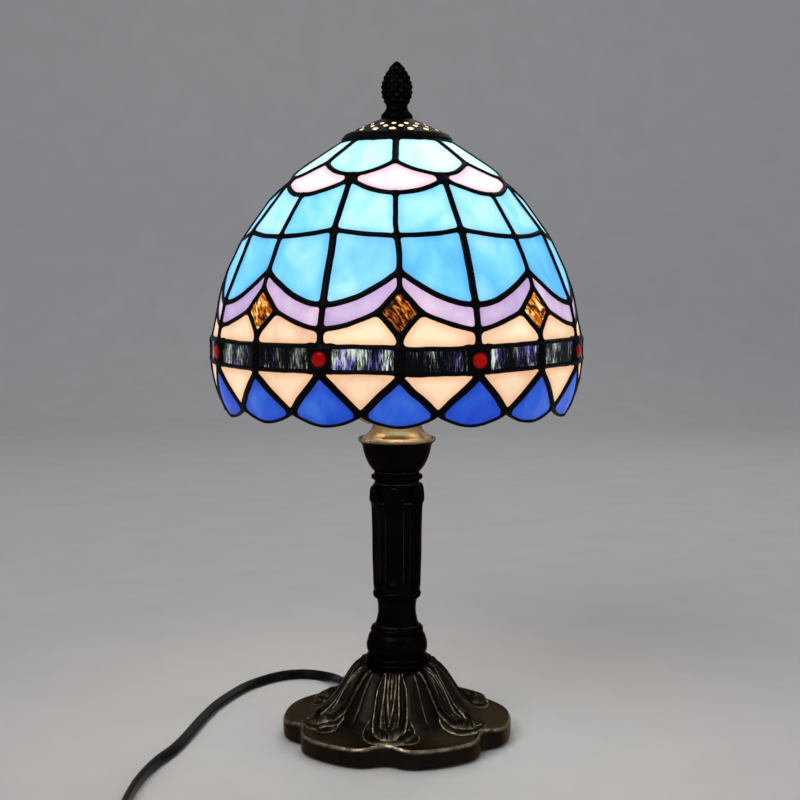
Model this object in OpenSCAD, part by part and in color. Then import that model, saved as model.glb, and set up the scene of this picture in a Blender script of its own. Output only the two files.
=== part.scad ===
// Stained glass table lamp: a leaded glass dome on a cast, fluted column with a six-lobed foot.
// Millimetres. +Z is up, the origin is on the table under the lamp's axis, and -Y is the front.

/* [Shade] */
// Radius of the dome where it meets the belt
dome_r = 99.5; // [98:0.5:101]
// Radius of the arc that the dome's side follows
dome_arc_r = 131.5; // [130:0.5:133]
// Height of the middle of the belt above the table
belt_z = 212; // [211:0.5:213]
// Thickness of the sheet glass
glass_t = 2.6; // [2:0.1:3]
// Width of a solder seam
seam_w = 2.4; // [2:0.1:2.8]
// How far a seam stands out of the glass, inside and outside
seam_proud = 0.7; // [0.4:0.1:1]

/* [Stand] */
// Radius of the foot at the middle of a lobe
foot_r = 62.5; // [60:0.5:65]
// Depth of the notch between two lobes
notch_d = 6; // [3:0.5:8]
// Thickness of the felt under the foot
felt_t = 1.2; // [0.8:0.1:2]

/* [Bulb] */
// Largest radius of the bulb's glass
bulb_r = 25; // [20:0.5:30]

/* [Cord] */
// Width of the flat two-core cord
cord_w = 6; // [5:0.2:7]
// Thickness of the flat cord
cord_t = 3.8; // [3:0.1:4]

/* [Hidden] */
$fn = 72;

// Colours
bronze = "#2b211b";
dark_bronze = "#1d1612";
brass = "#b08d4f";
steel = "#9a9a98";
lead = "#141312";
sky = "#7fc8ee";
pale_sky = "#b5e6f2";
blush = "#f2dbe6";
lavender = "#c9b3dc";
cream = "#f5dcbc";
amber = "#c9761a";
ruby = "#c01414";
cobalt = "#3358c4";
streaky = "#6d7390";
black_plastic = "#151515";

// Play between a pane and the seams around it
play = 0.15;
half_seam = seam_w / 2;

// ---- The shade's surface: a dome, the upright belt and a skirt that draws in ----
belt_half = 5.5;
belt_hi = belt_z + belt_half;
belt_lo = belt_z - belt_half;
arc_z = belt_z - 7;
arc_off = dome_r - dome_arc_r;
skirt_r = dome_r - 0.3;
skirt_z = belt_z - 6.7;
skirt_draw = 0.0105;
belt_r = dome_r + 0.7;

function dome_radius(z) = arc_off + sqrt(dome_arc_r * dome_arc_r - (z - arc_z) * (z - arc_z));
function skirt_radius(z) = skirt_r - skirt_draw * pow(max(skirt_z - z, 0), 2);
// Radius, and the radial and upward parts of the outward normal, at height z
function surface_at(z) =
    z > belt_hi + 0.9 ? [dome_radius(z), (dome_radius(z) - arc_off) / dome_arc_r, (z - arc_z) / dome_arc_r]
    : z < belt_lo - 0.9 ? let (slope = 2 * skirt_draw * max(skirt_z - z, 0), n = sqrt(1 + slope * slope))
        [skirt_radius(z), 1 / n, -slope / n]
    : [belt_r, 1, 0];
// A point on the shade: angle from the front towards +X, height, distance out of the surface
function shade_point(th, z, out) = let (s = surface_at(z), r = s[0] + out * s[1])
    [r * sin(th), -r * cos(th), z + out * s[2]];

// ---- The pattern: eight repeats, each mirrored about a diamond line at 0 and a gem line at 22.5 ----
repeats = 8;
pitch = 360 / repeats;
gem_at = pitch / 2;
v_at = gem_at / 2;
grid = [0, 1.5, 4.9, 6.4, v_at, 16, 21, gem_at];
// Angle from the nearest diamond line
function fold(th) = abs(th - pitch * round(th / pitch));
function swag(a) = sin(90 * a / gem_at);

crown_z = 321;
petal_tip_z = 308.3;
petal_low_z = 301.4;
blush_high_z = 298.6;
blush_low_z = 291.6;
sky_gem_z = 273.6;
sky_diamond_z = 272.1;
swag_high_z = 254;
swag_low_z = 238.8;
lavender_high_z = 248.5;
lavender_low_z = 227.3;
diamond_z = 234.5;
diamond_half_h = 8.8;
diamond_half_a = 4.9;
frame_a = 6.4;
frame_z = 231.5;
frame_low_z = 221.3;
v_high_z = 204.2;
v_low_z = 187.4;
scallop_low_z = 179.7;
scallop_cusp_z = 184.7;

function table(f) = [for (a = grid) [a, f(a)]];
petal_line = table(function (a) petal_tip_z - (petal_tip_z - petal_low_z) * swag(a));
blush_line = table(function (a) blush_high_z - (blush_high_z - blush_low_z) * swag(gem_at - a));
sky_line = table(function (a) sky_gem_z - (sky_gem_z - sky_diamond_z) * swag(gem_at - a));
swag_line = table(function (a) swag_high_z - (swag_high_z - swag_low_z) * swag(a));
lavender_line = table(function (a)
    lavender_low_z + (lavender_high_z - lavender_low_z) * pow(1 - swag(a), 1.3));
zigzag_line = table(function (a)
    v_low_z + (v_high_z - v_low_z) * abs(a - v_at) / v_at);
scallop_line = table(function (a) let (b = min(a, gem_at - a))
    scallop_cusp_z - (scallop_cusp_z - scallop_low_z) * cos(90 * b / v_at));
// The lower side of the seam that runs over the diamonds and along the cream glass
under_lavender = table(function (a)
    a < frame_a - 0.01
        ? (a <= diamond_half_a ? diamond_z + diamond_half_h * (1 - a / diamond_half_a) : diamond_z)
        : lookup(a, lavender_line) - half_seam);
diamond_foot = [[0, diamond_z - diamond_half_h], [diamond_half_a, diamond_z],
    [frame_a, lookup(frame_a, lavender_line) - half_seam]];
frame_foot = [[0, frame_low_z], [1.65, frame_low_z], [frame_a, frame_z]];
cream_top = [[0, frame_low_z], [1.65, frame_low_z], [frame_a - 0.2, frame_z - 0.8],
    [frame_a + 0.1, lookup(frame_a + 0.1, lavender_line) - half_seam],
    for (i = [4 : len(grid) - 1]) [grid[i], lavender_line[i][1] - half_seam]];

function above(line, th, lift) = lookup(fold(th), line) + lift;

// ---- Curved patches: one closed solid between two angles and two curves ----
// An edge is [angle, sideways shift in mm, curve below, curve above]
function shifted(th, shift, z) = th + asin(shift / surface_at(z)[0]);
function corner(th, shift, curve) = let (near = shifted(th, shift, curve(th))) [near, curve(near)];
function patch_points(cols, low, high, rows, out, in) = [
    for (c = cols) let (b = corner(c[0], c[1], low), t = corner(c[0], c[1], high))
        for (j = [0 : rows]) let (k = j / rows, th = b[0] + (t[0] - b[0]) * k, z = b[1] + (t[1] - b[1]) * k)
            for (depth = [out, in]) shade_point(th, z, depth)];
function quad(a, b, c, d) = [[a, b, c], [a, c, d]];
function patch_faces(base, n, rows) = let (id = function (i, j, k) base + (i * (rows + 1) + j) * 2 + k) [
    for (i = [0 : n - 2], j = [0 : rows - 1])
        each concat(quad(id(i, j, 0), id(i, j + 1, 0), id(i + 1, j + 1, 0), id(i + 1, j, 0)),
            quad(id(i, j, 1), id(i + 1, j, 1), id(i + 1, j + 1, 1), id(i, j + 1, 1))),
    for (i = [0 : n - 2])
        each concat(quad(id(i, 0, 0), id(i + 1, 0, 0), id(i + 1, 0, 1), id(i, 0, 1)),
            quad(id(i, rows, 0), id(i, rows, 1), id(i + 1, rows, 1), id(i + 1, rows, 0))),
    for (j = [0 : rows - 1])
        each concat(quad(id(0, j, 0), id(0, j, 1), id(0, j + 1, 1), id(0, j + 1, 0)),
            quad(id(n - 1, j, 0), id(n - 1, j + 1, 0), id(n - 1, j + 1, 1), id(n - 1, j, 1)))];

// Several patches of one kind in one polyhedron; specs holds one list of edges for each
module patches(specs, low, high, rows, out, in) {
    size = len(specs[0]) * (rows + 1) * 2;
    polyhedron(
        points = [for (cols = specs) each patch_points(cols, low, high, rows, out, in)],
        faces = [for (k = [0 : len(specs) - 1]) each patch_faces(k * size, len(specs[k]), rows)]);
}

// A ring that follows two curves all the way round
function ring_points(low, high, out, in) = [for (th = ring_angles) let (b = low(th), t = high(th))
    each [shade_point(th, b, out), shade_point(th, t, out), shade_point(th, t, in), shade_point(th, b, in)]];
function ring_faces(base, n) = [for (i = [0 : n - 1], k = [0 : 3])
    let (a = base + i * 4, b = base + ((i + 1) % n) * 4, m = (k + 1) % 4)
        each quad(a + k, a + m, b + m, b + k)];
ring_angles = [for (s = [0 : repeats - 1]) each concat(
    [for (i = [0 : len(grid) - 1]) s * pitch + grid[i]],
    [for (i = [len(grid) - 2 : -1 : 1]) (s + 1) * pitch - grid[i]])];
module rings(pairs, out, in) {
    n = len(ring_angles);
    polyhedron(
        points = [for (p = pairs) each ring_points(p[0], p[1], out, in)],
        faces = [for (k = [0 : len(pairs) - 1]) each ring_faces(k * n * 4, n)]);
}
module seam_rings(pairs) { rings(pairs, seam_proud, -glass_t - seam_proud); }

// The angles of the diamond lines, the gem lines and all sixteen
at_diamonds = [for (k = [0 : repeats - 1]) k * pitch];
at_gems = [for (k = [0 : repeats - 1]) k * pitch + gem_at];
edge_gap = half_seam + play;
// Room over the upper came, because the dome's glass leans in there
belt_step = 0.4;

// Edges of a pane that reaches from a diamond line to the next gem line, and its mirror image
function half_bay(inner, near, far) = [for (th = at_diamonds) each [
    concat([[th, near]], [for (a = inner) [th + a, 0]], [[th + gem_at, -far]]),
    concat([[th - gem_at, far]], [for (i = [len(inner) - 1 : -1 : 0]) [th - inner[i], 0]], [[th, -near]])]];
// Edges of a pane centred on a line, reaching a whole bay
function full_bay(centres, inner, gap) = [for (th = centres) concat([[th - gem_at, gap]],
    [for (i = [len(inner) - 1 : -1 : 0]) [th - inner[i], 0]], [[th, 0]],
    [for (a = inner) [th + a, 0]], [[th + gem_at, -gap]])];
module panes(specs, low, high, rows = 2) { patches(specs, low, high, rows, 0, -glass_t); }

module petal_glass() color(pale_sky) panes(
    full_bay(at_gems, [gem_at - 16, v_at, gem_at - 4.9], edge_gap),
    function (th) above(petal_line, th, edge_gap), function (th) crown_z - 1.6);
module blush_glass() color(blush) panes(
    [for (th = at_diamonds) [for (a = [-17.5, -16, -v_at, -6.4, 0, 6.4, v_at, 16, 17.5]) [th + a, 0]]],
    function (th) above(blush_line, th, edge_gap), function (th) above(petal_line, th, -edge_gap), 1);
module upper_sky_glass() color(sky) panes(half_bay([6.4, v_at, 16], edge_gap, edge_gap),
    function (th) above(sky_line, th, edge_gap), function (th) above(blush_line, th, -edge_gap));
module lower_sky_glass() color(sky) panes(half_bay([4.9, v_at, 16], edge_gap, edge_gap),
    function (th) above(swag_line, th, edge_gap), function (th) above(sky_line, th, -edge_gap));
module lavender_glass() color(lavender) panes(half_bay([4.9, 6.4, v_at, 16], edge_gap, edge_gap + 0.3),
    function (th) above(lavender_line, th, edge_gap), function (th) above(swag_line, th, -edge_gap), 1);
module amber_diamonds() {
    half_a = diamond_half_a - 0.15;
    reach = function (th) diamond_half_h * (1 - fold(th) / diamond_half_a) - 0.2;
    color(amber) panes(
        [for (th = at_diamonds) [for (a = [-half_a + 0.1, -2.4, 0, 2.4, half_a - 0.1]) [th + a, 0]]],
        function (th) diamond_z - reach(th), function (th) diamond_z + reach(th), 1);
}
module cream_glass() color(cream) panes(
    half_bay([1.65, frame_a - 0.2, frame_a + 0.1, v_at, 16], edge_gap + 0.7, edge_gap),
    function (th) belt_hi + edge_gap + belt_step, function (th) above(cream_top, th, -play), 1);
module belt_glass() color(streaky) panes(
    [for (th = at_diamonds) each [
        [[th, edge_gap], [th + 6.4, 0], [th + v_at, 0], [th + gem_at, -bezel_half - play]],
        [[th - gem_at, bezel_half + play], [th - v_at, 0], [th - 6.4, 0], [th, -edge_gap]]]],
    function (th) belt_z - belt_glass_half, function (th) belt_z + belt_glass_half, 1);
module cream_triangles() {
    half = 9.3;
    color(cream) panes(
        [for (th = at_diamonds, side = [-1, 1]) [for (a = [-half, -5, 0, 5, half])
            [th + side * v_at + a, 0]]],
        function (th) min(v_low_z + slant + (v_high_z - v_low_z)
            * abs(fold(th) - v_at) / v_at + play, belt_lo - half_seam - play - 0.5),
        function (th) belt_lo - half_seam - play, 1);
}
module cobalt_scallops() {
    half = 10.2;
    color(cobalt) panes(
        [for (k = [0 : 2 * repeats - 1]) [for (a = [-half, -6.4, -1.5, 0, 1.5, 6.4, half])
            [k * gem_at + a, 0]]],
        function (th) above(scallop_line, th, edge_bead / 2 + play),
        function (th) above(zigzag_line, th, -slant - play), 1);
}

// ---- Solder seams, cames and frames ----
slant = half_seam * 1.3;
edge_bead = 1.6;
bezel_half = 5.4;
belt_glass_half = belt_half - half_seam - play;
gem_r = 3.8;

module crown_ring() color(lead) seam_rings(
    [[function (th) crown_z - 1.4, function (th) crown_z + 0.3]]);
module arc_seams() color(lead) seam_rings([
    [function (th) above(petal_line, th, -half_seam), function (th) above(petal_line, th, half_seam)],
    [function (th) above(blush_line, th, -half_seam), function (th) above(blush_line, th, half_seam)],
    [function (th) above(sky_line, th, -half_seam), function (th) above(sky_line, th, half_seam)],
    [function (th) above(swag_line, th, -half_seam), function (th) above(swag_line, th, half_seam)],
    [function (th) above(under_lavender, th, 0), function (th) above(lavender_line, th, half_seam)]]);
// Short upright seams between two curves, on the given lines
module ribs(lines, low, high, half = half_seam) patches(
    [for (th = lines) [[th, -half], [th, 0], [th, half]]], low, high, 2, seam_proud, -glass_t - seam_proud);
module rib_seams() color(lead) {
    gap = half_seam + play;
    ribs(at_diamonds, function (th) above(petal_line, th, gap), function (th) crown_z - 1.6);
    ribs(concat(at_diamonds, at_gems),
        function (th) above(sky_line, th, gap), function (th) above(blush_line, th, -gap - 0.5));
    ribs(concat(at_diamonds, at_gems),
        function (th) above(swag_line, th, gap), function (th) above(sky_line, th, -gap));
    ribs(at_gems, function (th) above(lavender_line, th, gap), function (th) above(swag_line, th, -gap));
    ribs(at_diamonds, function (th) above(lavender_line, th, gap),
        function (th) above(swag_line, th, -gap - 0.9));
    ribs(at_gems, function (th) belt_hi + gap + belt_step, function (th) above(lavender_line, th, -gap));
    ribs(at_diamonds, function (th) belt_hi + gap + belt_step, function (th) frame_low_z - play);
    ribs(at_diamonds, function (th) belt_z - belt_glass_half, function (th) belt_z + belt_glass_half);
}
module diamond_frames() color(lead) patches(
    [for (th = at_diamonds) [for (a = [-frame_a + 0.2, -diamond_half_a, -1.65, 0, 1.65, diamond_half_a,
        frame_a - 0.2]) [th + a, 0]]],
    function (th) lookup(fold(th), frame_foot),
    function (th) lookup(fold(th), diamond_foot) - play, 1, seam_proud, -glass_t - seam_proud);
module belt_cames() color(lead) for (side = [-1, 1]) rotate_extrude() translate([belt_r - glass_t - 0.7,
    belt_z + side * belt_half - half_seam]) square([glass_t + 1.5, seam_w]);
// Places children on the belt at a gem line, with +Z out of the shade
module on_gem_line(k) rotate([0, 0, k * pitch + gem_at]) translate([0, -belt_r, belt_z]) rotate([90, 0, 0])
    children();
module gem_bezels() color(lead) for (k = [0 : repeats - 1]) on_gem_line(k) translate([0, 0, -glass_t])
    difference() {
        linear_extrude(glass_t + 0.6)
            square([2 * (bezel_half - 0.1), 2 * (belt_half - half_seam - 0.1)], center = true);
        translate([0, 0, -1]) cylinder(r = gem_r + 0.1, h = 10);
    }
module ruby_gems() color(ruby) for (k = [0 : repeats - 1]) on_gem_line(k) translate([0, 0, -glass_t + 0.1]) {
    cylinder(r = gem_r, h = glass_t);
    translate([0, 0, glass_t]) intersection() {
        translate([0, 0, -3.2]) sphere(r = 4.9);
        cylinder(r = gem_r - 0.1, h = 3);
    }
}
module zigzag_seam() color(lead) seam_rings([[function (th) above(zigzag_line, th, -slant),
    function (th) min(above(zigzag_line, th, slant), belt_lo - half_seam - play)]]);
module scallop_edge() color(lead) rings([[function (th) above(scallop_line, th, -edge_bead / 2),
    function (th) above(scallop_line, th, edge_bead / 2)]], 0.6, -glass_t - 0.6);

// ---- Vented cap, harp stud and finial ----
stud_r = 3;
cap_top_z = 333.4;
cap_t = 0.8;
cap_rim = [29.5, crown_z + 0.5];
cap_outline = [cap_rim, [29.4, 323], [27.6, 325.2], [20.8, 328.4], [14.1, 331.4], [9.4, cap_top_z]];
// Each row of holes: how far out, how high, its radius and its share of a step round
vent_rows = [[24.4, 326.7, 1.85, 0], [20.6, 328.5, 1.5, 0.5], [17, 330.1, 1.35, 0]];
vent_tilt = 24.8;
vents = 16;
vent_turn = -5.3;
module vented_cap() color(dark_bronze) difference() {
    rotate_extrude() polygon(concat(cap_outline,
        [[stud_r + 0.2, cap_top_z], [stud_r + 0.2, cap_top_z - cap_t], [9, cap_top_z - cap_t]],
        [for (i = [4 : -1 : 1]) cap_outline[i] - [0.5, cap_t]], [cap_rim - [cap_t, 0]]));
    for (row = vent_rows, k = [0 : vents - 1]) rotate([0, 0, (k + row[3]) * 360 / vents + vent_turn])
        translate([0, -row[0], row[1]]) rotate([vent_tilt, 0, 0]) cylinder(r = row[2], h = 5, center = true);
}

strip_t = 1.5;
harp_foot_z = 171.5;
harp_top_z = 319.7;
harp_w = 8;
harp_half = 36;
// The harp's side outline, grown by o
function harp_outline(o) = let (z0 = harp_foot_z + strip_t, z1 = harp_top_z - strip_t,
    quarter = function (cx, cz, a, b, from, step) [for (i = [0 : 10])
        [cx + a * cos(from + i * step), cz + b * sin(from + i * step)]]) concat(
    quarter(9, 270, harp_half - 9 - strip_t + o, z1 - 270 + o, 0, 9),
    quarter(-9, 270, harp_half - 9 - strip_t + o, z1 - 270 + o, 90, 9),
    quarter(-12, 215, harp_half - 12 - strip_t + o, 215 - z0 + o, 180, 9),
    quarter(12, 215, harp_half - 12 - strip_t + o, 215 - z0 + o, 270, 9));
module harp() color(steel) difference() {
    rotate([90, 0, 0]) linear_extrude(harp_w, center = true)
        difference() {
            polygon(harp_outline(strip_t));
            polygon(harp_outline(0));
        }
    translate([0, 0, harp_foot_z - 1]) cylinder(r = pipe_r + 0.05, h = 4);
    translate([0, 0, harp_top_z - 4]) cylinder(r = stud_r + 0.05, h = 8);
}
module hex(flats, h) cylinder(r = flats / sqrt(3), h = h, $fn = 6);
stud_top_z = 341;
module harp_stud() color(brass) {
    translate([0, 0, harp_top_z - strip_t - 3]) hex(10, 3);
    translate([0, 0, harp_top_z - strip_t]) cylinder(r = stud_r, h = stud_top_z - harp_top_z + strip_t);
}
saddle_z = harp_top_z + 3.2;
module stud_nut() color(brass) translate([0, 0, harp_top_z]) difference() {
    hex(10, 3.2);
    translate([0, 0, -1]) cylinder(r = stud_r + 0.05, h = 6);
}
module shade_saddle() color(brass) rotate_extrude() polygon([[stud_r + 0.05, saddle_z], [5.5, saddle_z],
    [5.5, 329.5], [9, 330.4], [9, cap_top_z - cap_t], [stud_r + 0.05, cap_top_z - cap_t]]);

finial_z = cap_top_z + 0.3;
insert_r = 4.2;
module finial_insert() color(brass) translate([0, 0, finial_z]) difference() {
    cylinder(r = insert_r, h = 8.2);
    translate([0, 0, -1]) cylinder(r = stud_r + 0.05, h = 12);
}
finial_tip_z = 364;
finial_outline = [[8.2, finial_z], [8.4, 335.4], [7, 337.4], [5.8, 339], [5.7, 340.2], [6.9, 343],
    [7.6, 344.8], [8.4, 348.4], [8.4, 350.6], [7.5, 353.6], [5.9, 357], [3.4, 361.3], [1.2, 363.6]];
module finial() color(dark_bronze) rotate_extrude() polygon(concat(
    [[insert_r + 0.05, finial_z]], finial_outline,
    [[0, finial_tip_z], [0, finial_z + 8.6], [insert_r + 0.05, finial_z + 8.6]]));

// ---- Foot ----
plate_top_z = 11;
lobes = 6;
notch_from = -6;
notch_half = 8.5;
// Radius of the foot's outline, th degrees from the front towards +X
function foot_radius(th) = let (d = th - notch_from, n = d - 60 * round(d / 60))
    foot_r - notch_d * exp(-pow(n / notch_half, 2));
foot_outline = [for (th = [0 : 3 : 357]) foot_radius(th) * [sin(th), -cos(th)]];
recess_r = 50;
foot_top_z = 39;
dome_outline = [[54, plate_top_z - 1], [48, 13], [40.5, 17], [35, 23.5], [31.5, 29.5], [26, 36], [21, 38.4],
    [17.5, foot_top_z]];
gland_at = 203;
gland_z = 6;
module at_gland() rotate([0, 0, gland_at]) translate([0, -foot_radius(gland_at), gland_z]) rotate([90, 0, 0])
    children();
module base_casting() color(bronze) difference() {
    union() {
        translate([0, 0, felt_t]) linear_extrude(plate_top_z - felt_t) polygon(foot_outline);
        rotate_extrude() polygon(concat([[0, plate_top_z - 1]], dome_outline, [[0, foot_top_z]]));
    }
    rotate_extrude() polygon([[0, 0], [recess_r + 0.1, 0], [recess_r + 0.1, felt_t + 1.3],
        [49, felt_t + 1.3],
        [47, 9], [36, 13], [30, 21], [26, 28], [20, 33], [0, 33]]);
    cylinder(r = pipe_r + 0.05, h = 60);
    at_gland() translate([0, 0, -20]) cylinder(r = 3.6, h = 40);
}
module felt_pad() color("#1c3524") cylinder(r = 54, h = felt_t);
module bottom_plate() color(steel) translate([0, 0, felt_t]) cylinder(r = recess_r, h = 1.2);

// ---- Stem, stacked on a threaded pipe ----
pipe_r = 5;
pipe_top_z = 184;
module lamp_pipe() color(steel) translate([0, 0, 25]) difference() {
    cylinder(r = pipe_r, h = pipe_top_z - 25);
    translate([0, 0, -1]) cylinder(r = 3.9, h = pipe_top_z);
}
module pipe_washer() color(steel) translate([0, 0, 31.5]) difference() {
    cylinder(r = 10, h = 1.5);
    translate([0, 0, -1]) cylinder(r = pipe_r + 0.05, h = 4);
}
module pipe_nuts() color(brass) for (z = [28, harp_foot_z + strip_t]) translate([0, 0, z]) difference() {
    hex(14, 3.5);
    translate([0, 0, -1]) cylinder(r = pipe_r + 0.05, h = 6);
}
// A turned or cast ring round the pipe, from its outline read upwards
module on_pipe(outline) let (last = outline[len(outline) - 1]) rotate_extrude()
    polygon(concat([[pipe_r + 0.05, outline[0][1]]], outline, [[pipe_r + 0.05, last[1]]]));
module stem_knop() color(bronze) on_pipe([[17, 39], [17.3, 40.5], [17.2, 43.5], [16.2, 45.2], [15.7, 46.5],
    [16.3, 48], [16.6, 50.2], [16.3, 52.8], [15.5, 55.4], [14.1, 57.6], [14.3, 59.3], [13.8, 60.8],
    [12.4, 61.4]]);
flutes = 6;
flute_r = 5.8;
module column() color(bronze) difference() {
    on_pipe([[12, 61.4], [11, 64.8], [10.3, 70.5], [10.8, 75], [11.6, 76.4], [12.9, 77.6], [13.1, 79],
        [12.7, 80.6], [12.8, 83], [13.1, 91], [13.4, 100], [13.5, 112], [13.8, 124], [14.3, 132],
        [14.9, 138.4], [13.6, 139.4], [12.8, 139.6]]);
    for (k = [0 : flutes - 1]) rotate([0, 0, k * 360 / flutes + notch_from])
        translate([0, -18, 84]) cylinder(r = flute_r, h = 51);
}
module column_collar() color(bronze) on_pipe([[12.2, 139.6], [12.2, 141.1], [13.4, 141.7], [14, 142.8],
    [13.6, 143.9], [12.3, 144.6], [12.3, 146]]);
module cup() color(bronze) rotate_extrude() polygon([[pipe_r + 0.05, 146], [12.6, 146], [15.1, 150.2],
    [17.7, 155.6], [18.8, 160.8], [20.6, 163], [21, 164.4], [20.5, 165], [19.4, 163.8], [17.2, 160],
    [15.6, 155], [12, 150], [pipe_r + 0.05, 150]]);
module cup_cover() color(brass) rotate_extrude() polygon([[pipe_r + 0.05, 171.5], [13.2, 171.5], [13.7, 170],
    [15, 167.6], [17.6, 165.8], [19.2, 164.2], [16.8, 161.4], [16.2, 163.6], [14.4, 166], [12.6, 169],
    [pipe_r + 0.05, 169]]);

// ---- Lampholder ----
module holder_cap() color(brass) rotate_extrude() polygon([[pipe_r + 0.05, 176.5], [8, 176.5], [13.5, 178.5],
    [16.8, 182.6], [17.9, 187], [17.9, 192], [17.1, 192], [17.1, 187], [16, 183.4], [13, 179.6], [8, 177.6],
    [pipe_r + 0.05, 177.6]]);
module tube(outer, inner, z0, z1) translate([0, 0, z0]) difference() {
    cylinder(r = outer, h = z1 - z0);
    translate([0, 0, -1]) cylinder(r = inner, h = z1 - z0 + 2);
}
socket_z = 200;
module holder_shell() color(brass) tube(17, 16.2, 188, socket_z + 26);
module screw_shell() color(brass) tube(13.85, 13.4, socket_z, socket_z + 25);
module holder_base() color("#e8e2d4") translate([0, 0, 191]) cylinder(r = 16.15, h = socket_z - 191);
module centre_contact() color(brass) translate([0, 0, socket_z]) cylinder(r = 4, h = 1.8);
module terminal_screws() color(brass) for (side = [-1, 1]) translate([side * 8.5, 0, 188.5])
    cylinder(r = 2, h = 2.5);

// ---- Bulb ----
bulb_z = socket_z + 2;
module bulb_contact() color(steel) translate([0, 0, bulb_z]) cylinder(r1 = 4, r2 = 7.5, h = 2.4);
module bulb_cap() color(steel) tube(13.1, 12.4, bulb_z + 2.6, bulb_z + 26);
module bulb_insulator() color(black_plastic) translate([0, 0, bulb_z + 2.6]) cylinder(r = 12.4, h = 2.2);
bulb_mid_z = bulb_z + 66;
// Half outline of the envelope, grown by o: neck, shoulder curve and a round top
function bulb_outline(o) = concat([[12.2 + o, bulb_z + 25], [12.6 + o, bulb_z + 31]],
    [for (i = [1 : 5]) let (k = i / 6) [12.6 + (bulb_r - 12.6) * (1 - cos(180 * k)) / 2 + o,
        bulb_z + 31 + (bulb_mid_z - bulb_z - 31) * k]],
    [for (i = [0 : 8]) [(bulb_r + o) * cos(i * 11.25), bulb_mid_z + (bulb_r + o) * sin(i * 11.25)]]);
module bulb_glass() color("#fff4dc") rotate_extrude() {
    outer = bulb_outline(0);
    inner = bulb_outline(-0.8);
    polygon(concat(outer, [for (i = [len(inner) - 1 : -1 : 0]) inner[i]]));
}
module bulb_mount() color("#dfe6e6") translate([0, 0, bulb_z + 26]) {
    cylinder(r = 9, h = 3);
    translate([0, 0, 3]) cylinder(r1 = 5, r2 = 2, h = 28);
}
module filament() color("#ffd070") for (side = [-1, 1]) translate([side * 6, 0, bulb_mid_z - 7])
    cylinder(r = 1, h = 18);

// ---- Swept tubes ----
function unit(v) = v / norm(v);
function heading(pts, i) = unit(pts[min(i + 1, len(pts) - 1)] - pts[max(i - 1, 0)]);
// One oval ring about point i: across is level, turned by a point's fourth number
function section(pts, i, w, t, sides) = let (d = heading([for (p = pts) [p[0], p[1], p[2]]], i),
    across = unit(cross(d, [0, 0, 1]) + (abs(d[2]) > 0.99 ? [1, 0, 0] : [0, 0, 0])), up = cross(across, d),
    turn = pts[i][3]) [for (k = [0 : sides - 1]) let (a = 360 * k / sides,
        x = w / 2 * cos(a) * cos(turn) - t / 2 * sin(a) * sin(turn),
        y = w / 2 * cos(a) * sin(turn) + t / 2 * sin(a) * cos(turn))
        [pts[i][0], pts[i][1], pts[i][2]] + x * across + y * up];
module sweep(pts, w, t, sides = 8) {
    n = len(pts);
    polyhedron(
        points = [for (i = [0 : n - 1]) each section(pts, i, w, t, sides)],
        faces = concat([[for (k = [sides - 1 : -1 : 0]) k]],
            [[for (k = [0 : sides - 1]) (n - 1) * sides + k]],
            [for (i = [0 : n - 2], k = [0 : sides - 1]) let (m = (k + 1) % sides)
                each quad(i * sides + k, i * sides + m, (i + 1) * sides + m, (i + 1) * sides + k)]));
}
module inner_wires() color("#7a3b1d") for (side = [-1, 1]) sweep([[side * 1.6, 40, 6.5, 0],
    [side * 1.6, 25, 6.8, 0], [side * 1.6, 12, 8.5, 0], [side * 1.6, 4, 13, 0], [side * 1.6, 0.6, 19, 0],
    [side * 1.6, 0, 25, 0], [side * 1.6, 0, 60, 0], [side * 1.6, 0, 120, 0], [side * 1.6, 0, 184, 0],
    [side * 3.4, 0, 186.4, 0], [side * 8.5, 0, 187.2, 0]], 2.4, 2.4);

// ---- Cord: out of the foot's back, round its left side to the front, a switch, a coil and a plug ----
boot_l = 20;
module cord_gland() color(black_plastic) at_gland() {
    translate([0, 0, -8]) cylinder(r = 3.5, h = 8);
    cylinder(r = 4.8, h = 2);
    translate([0, 0, 2]) cylinder(r1 = 4.4, r2 = 3.4, h = boot_l - 2);
}
low = cord_t / 2;
edge = cord_w / 2;
boot_tip = (foot_radius(gland_at) + boot_l) * [sin(gland_at), -cos(gland_at)];
// Points of the cord's middle, each with its height and how far the flat cord is turned on its edge
cord_route = [[boot_tip[0], boot_tip[1], gland_z, 0], [-36, 84.5, 4.9, 20], [-40, 92.5, 3.8, 45],
    [-46.5, 99.3, 3, 65], [-55, 102.8, 2.98, 72], [-65, 102.4, 2.98, 72], [-75, 97.4, 2.9, 62],
    [-84, 88.4, 2.75, 48], [-92, 77, 2.55, 35], [-99, 61, 2.35, 22], [-105, 42, 2.25, 18],
    [-109, 22, 2.25, 18], [-112, 2, 2.25, 18], [-114.5, -17, 2.35, 25], [-118, -36, 2.6, 45],
    [-122.5, -52, 3, 70], [-126, -68, edge, 90], [-128, -84, edge, 90], [-128.6, -100, edge, 90],
    [-128, -115, 3.2, 75], [-126.5, -129, 4, 45], [-124.6, -142, 5.6, 15], [-124, -153, 7, 0]];
module cord_run() color(black_plastic) sweep(cord_route, cord_w, cord_t);

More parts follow.
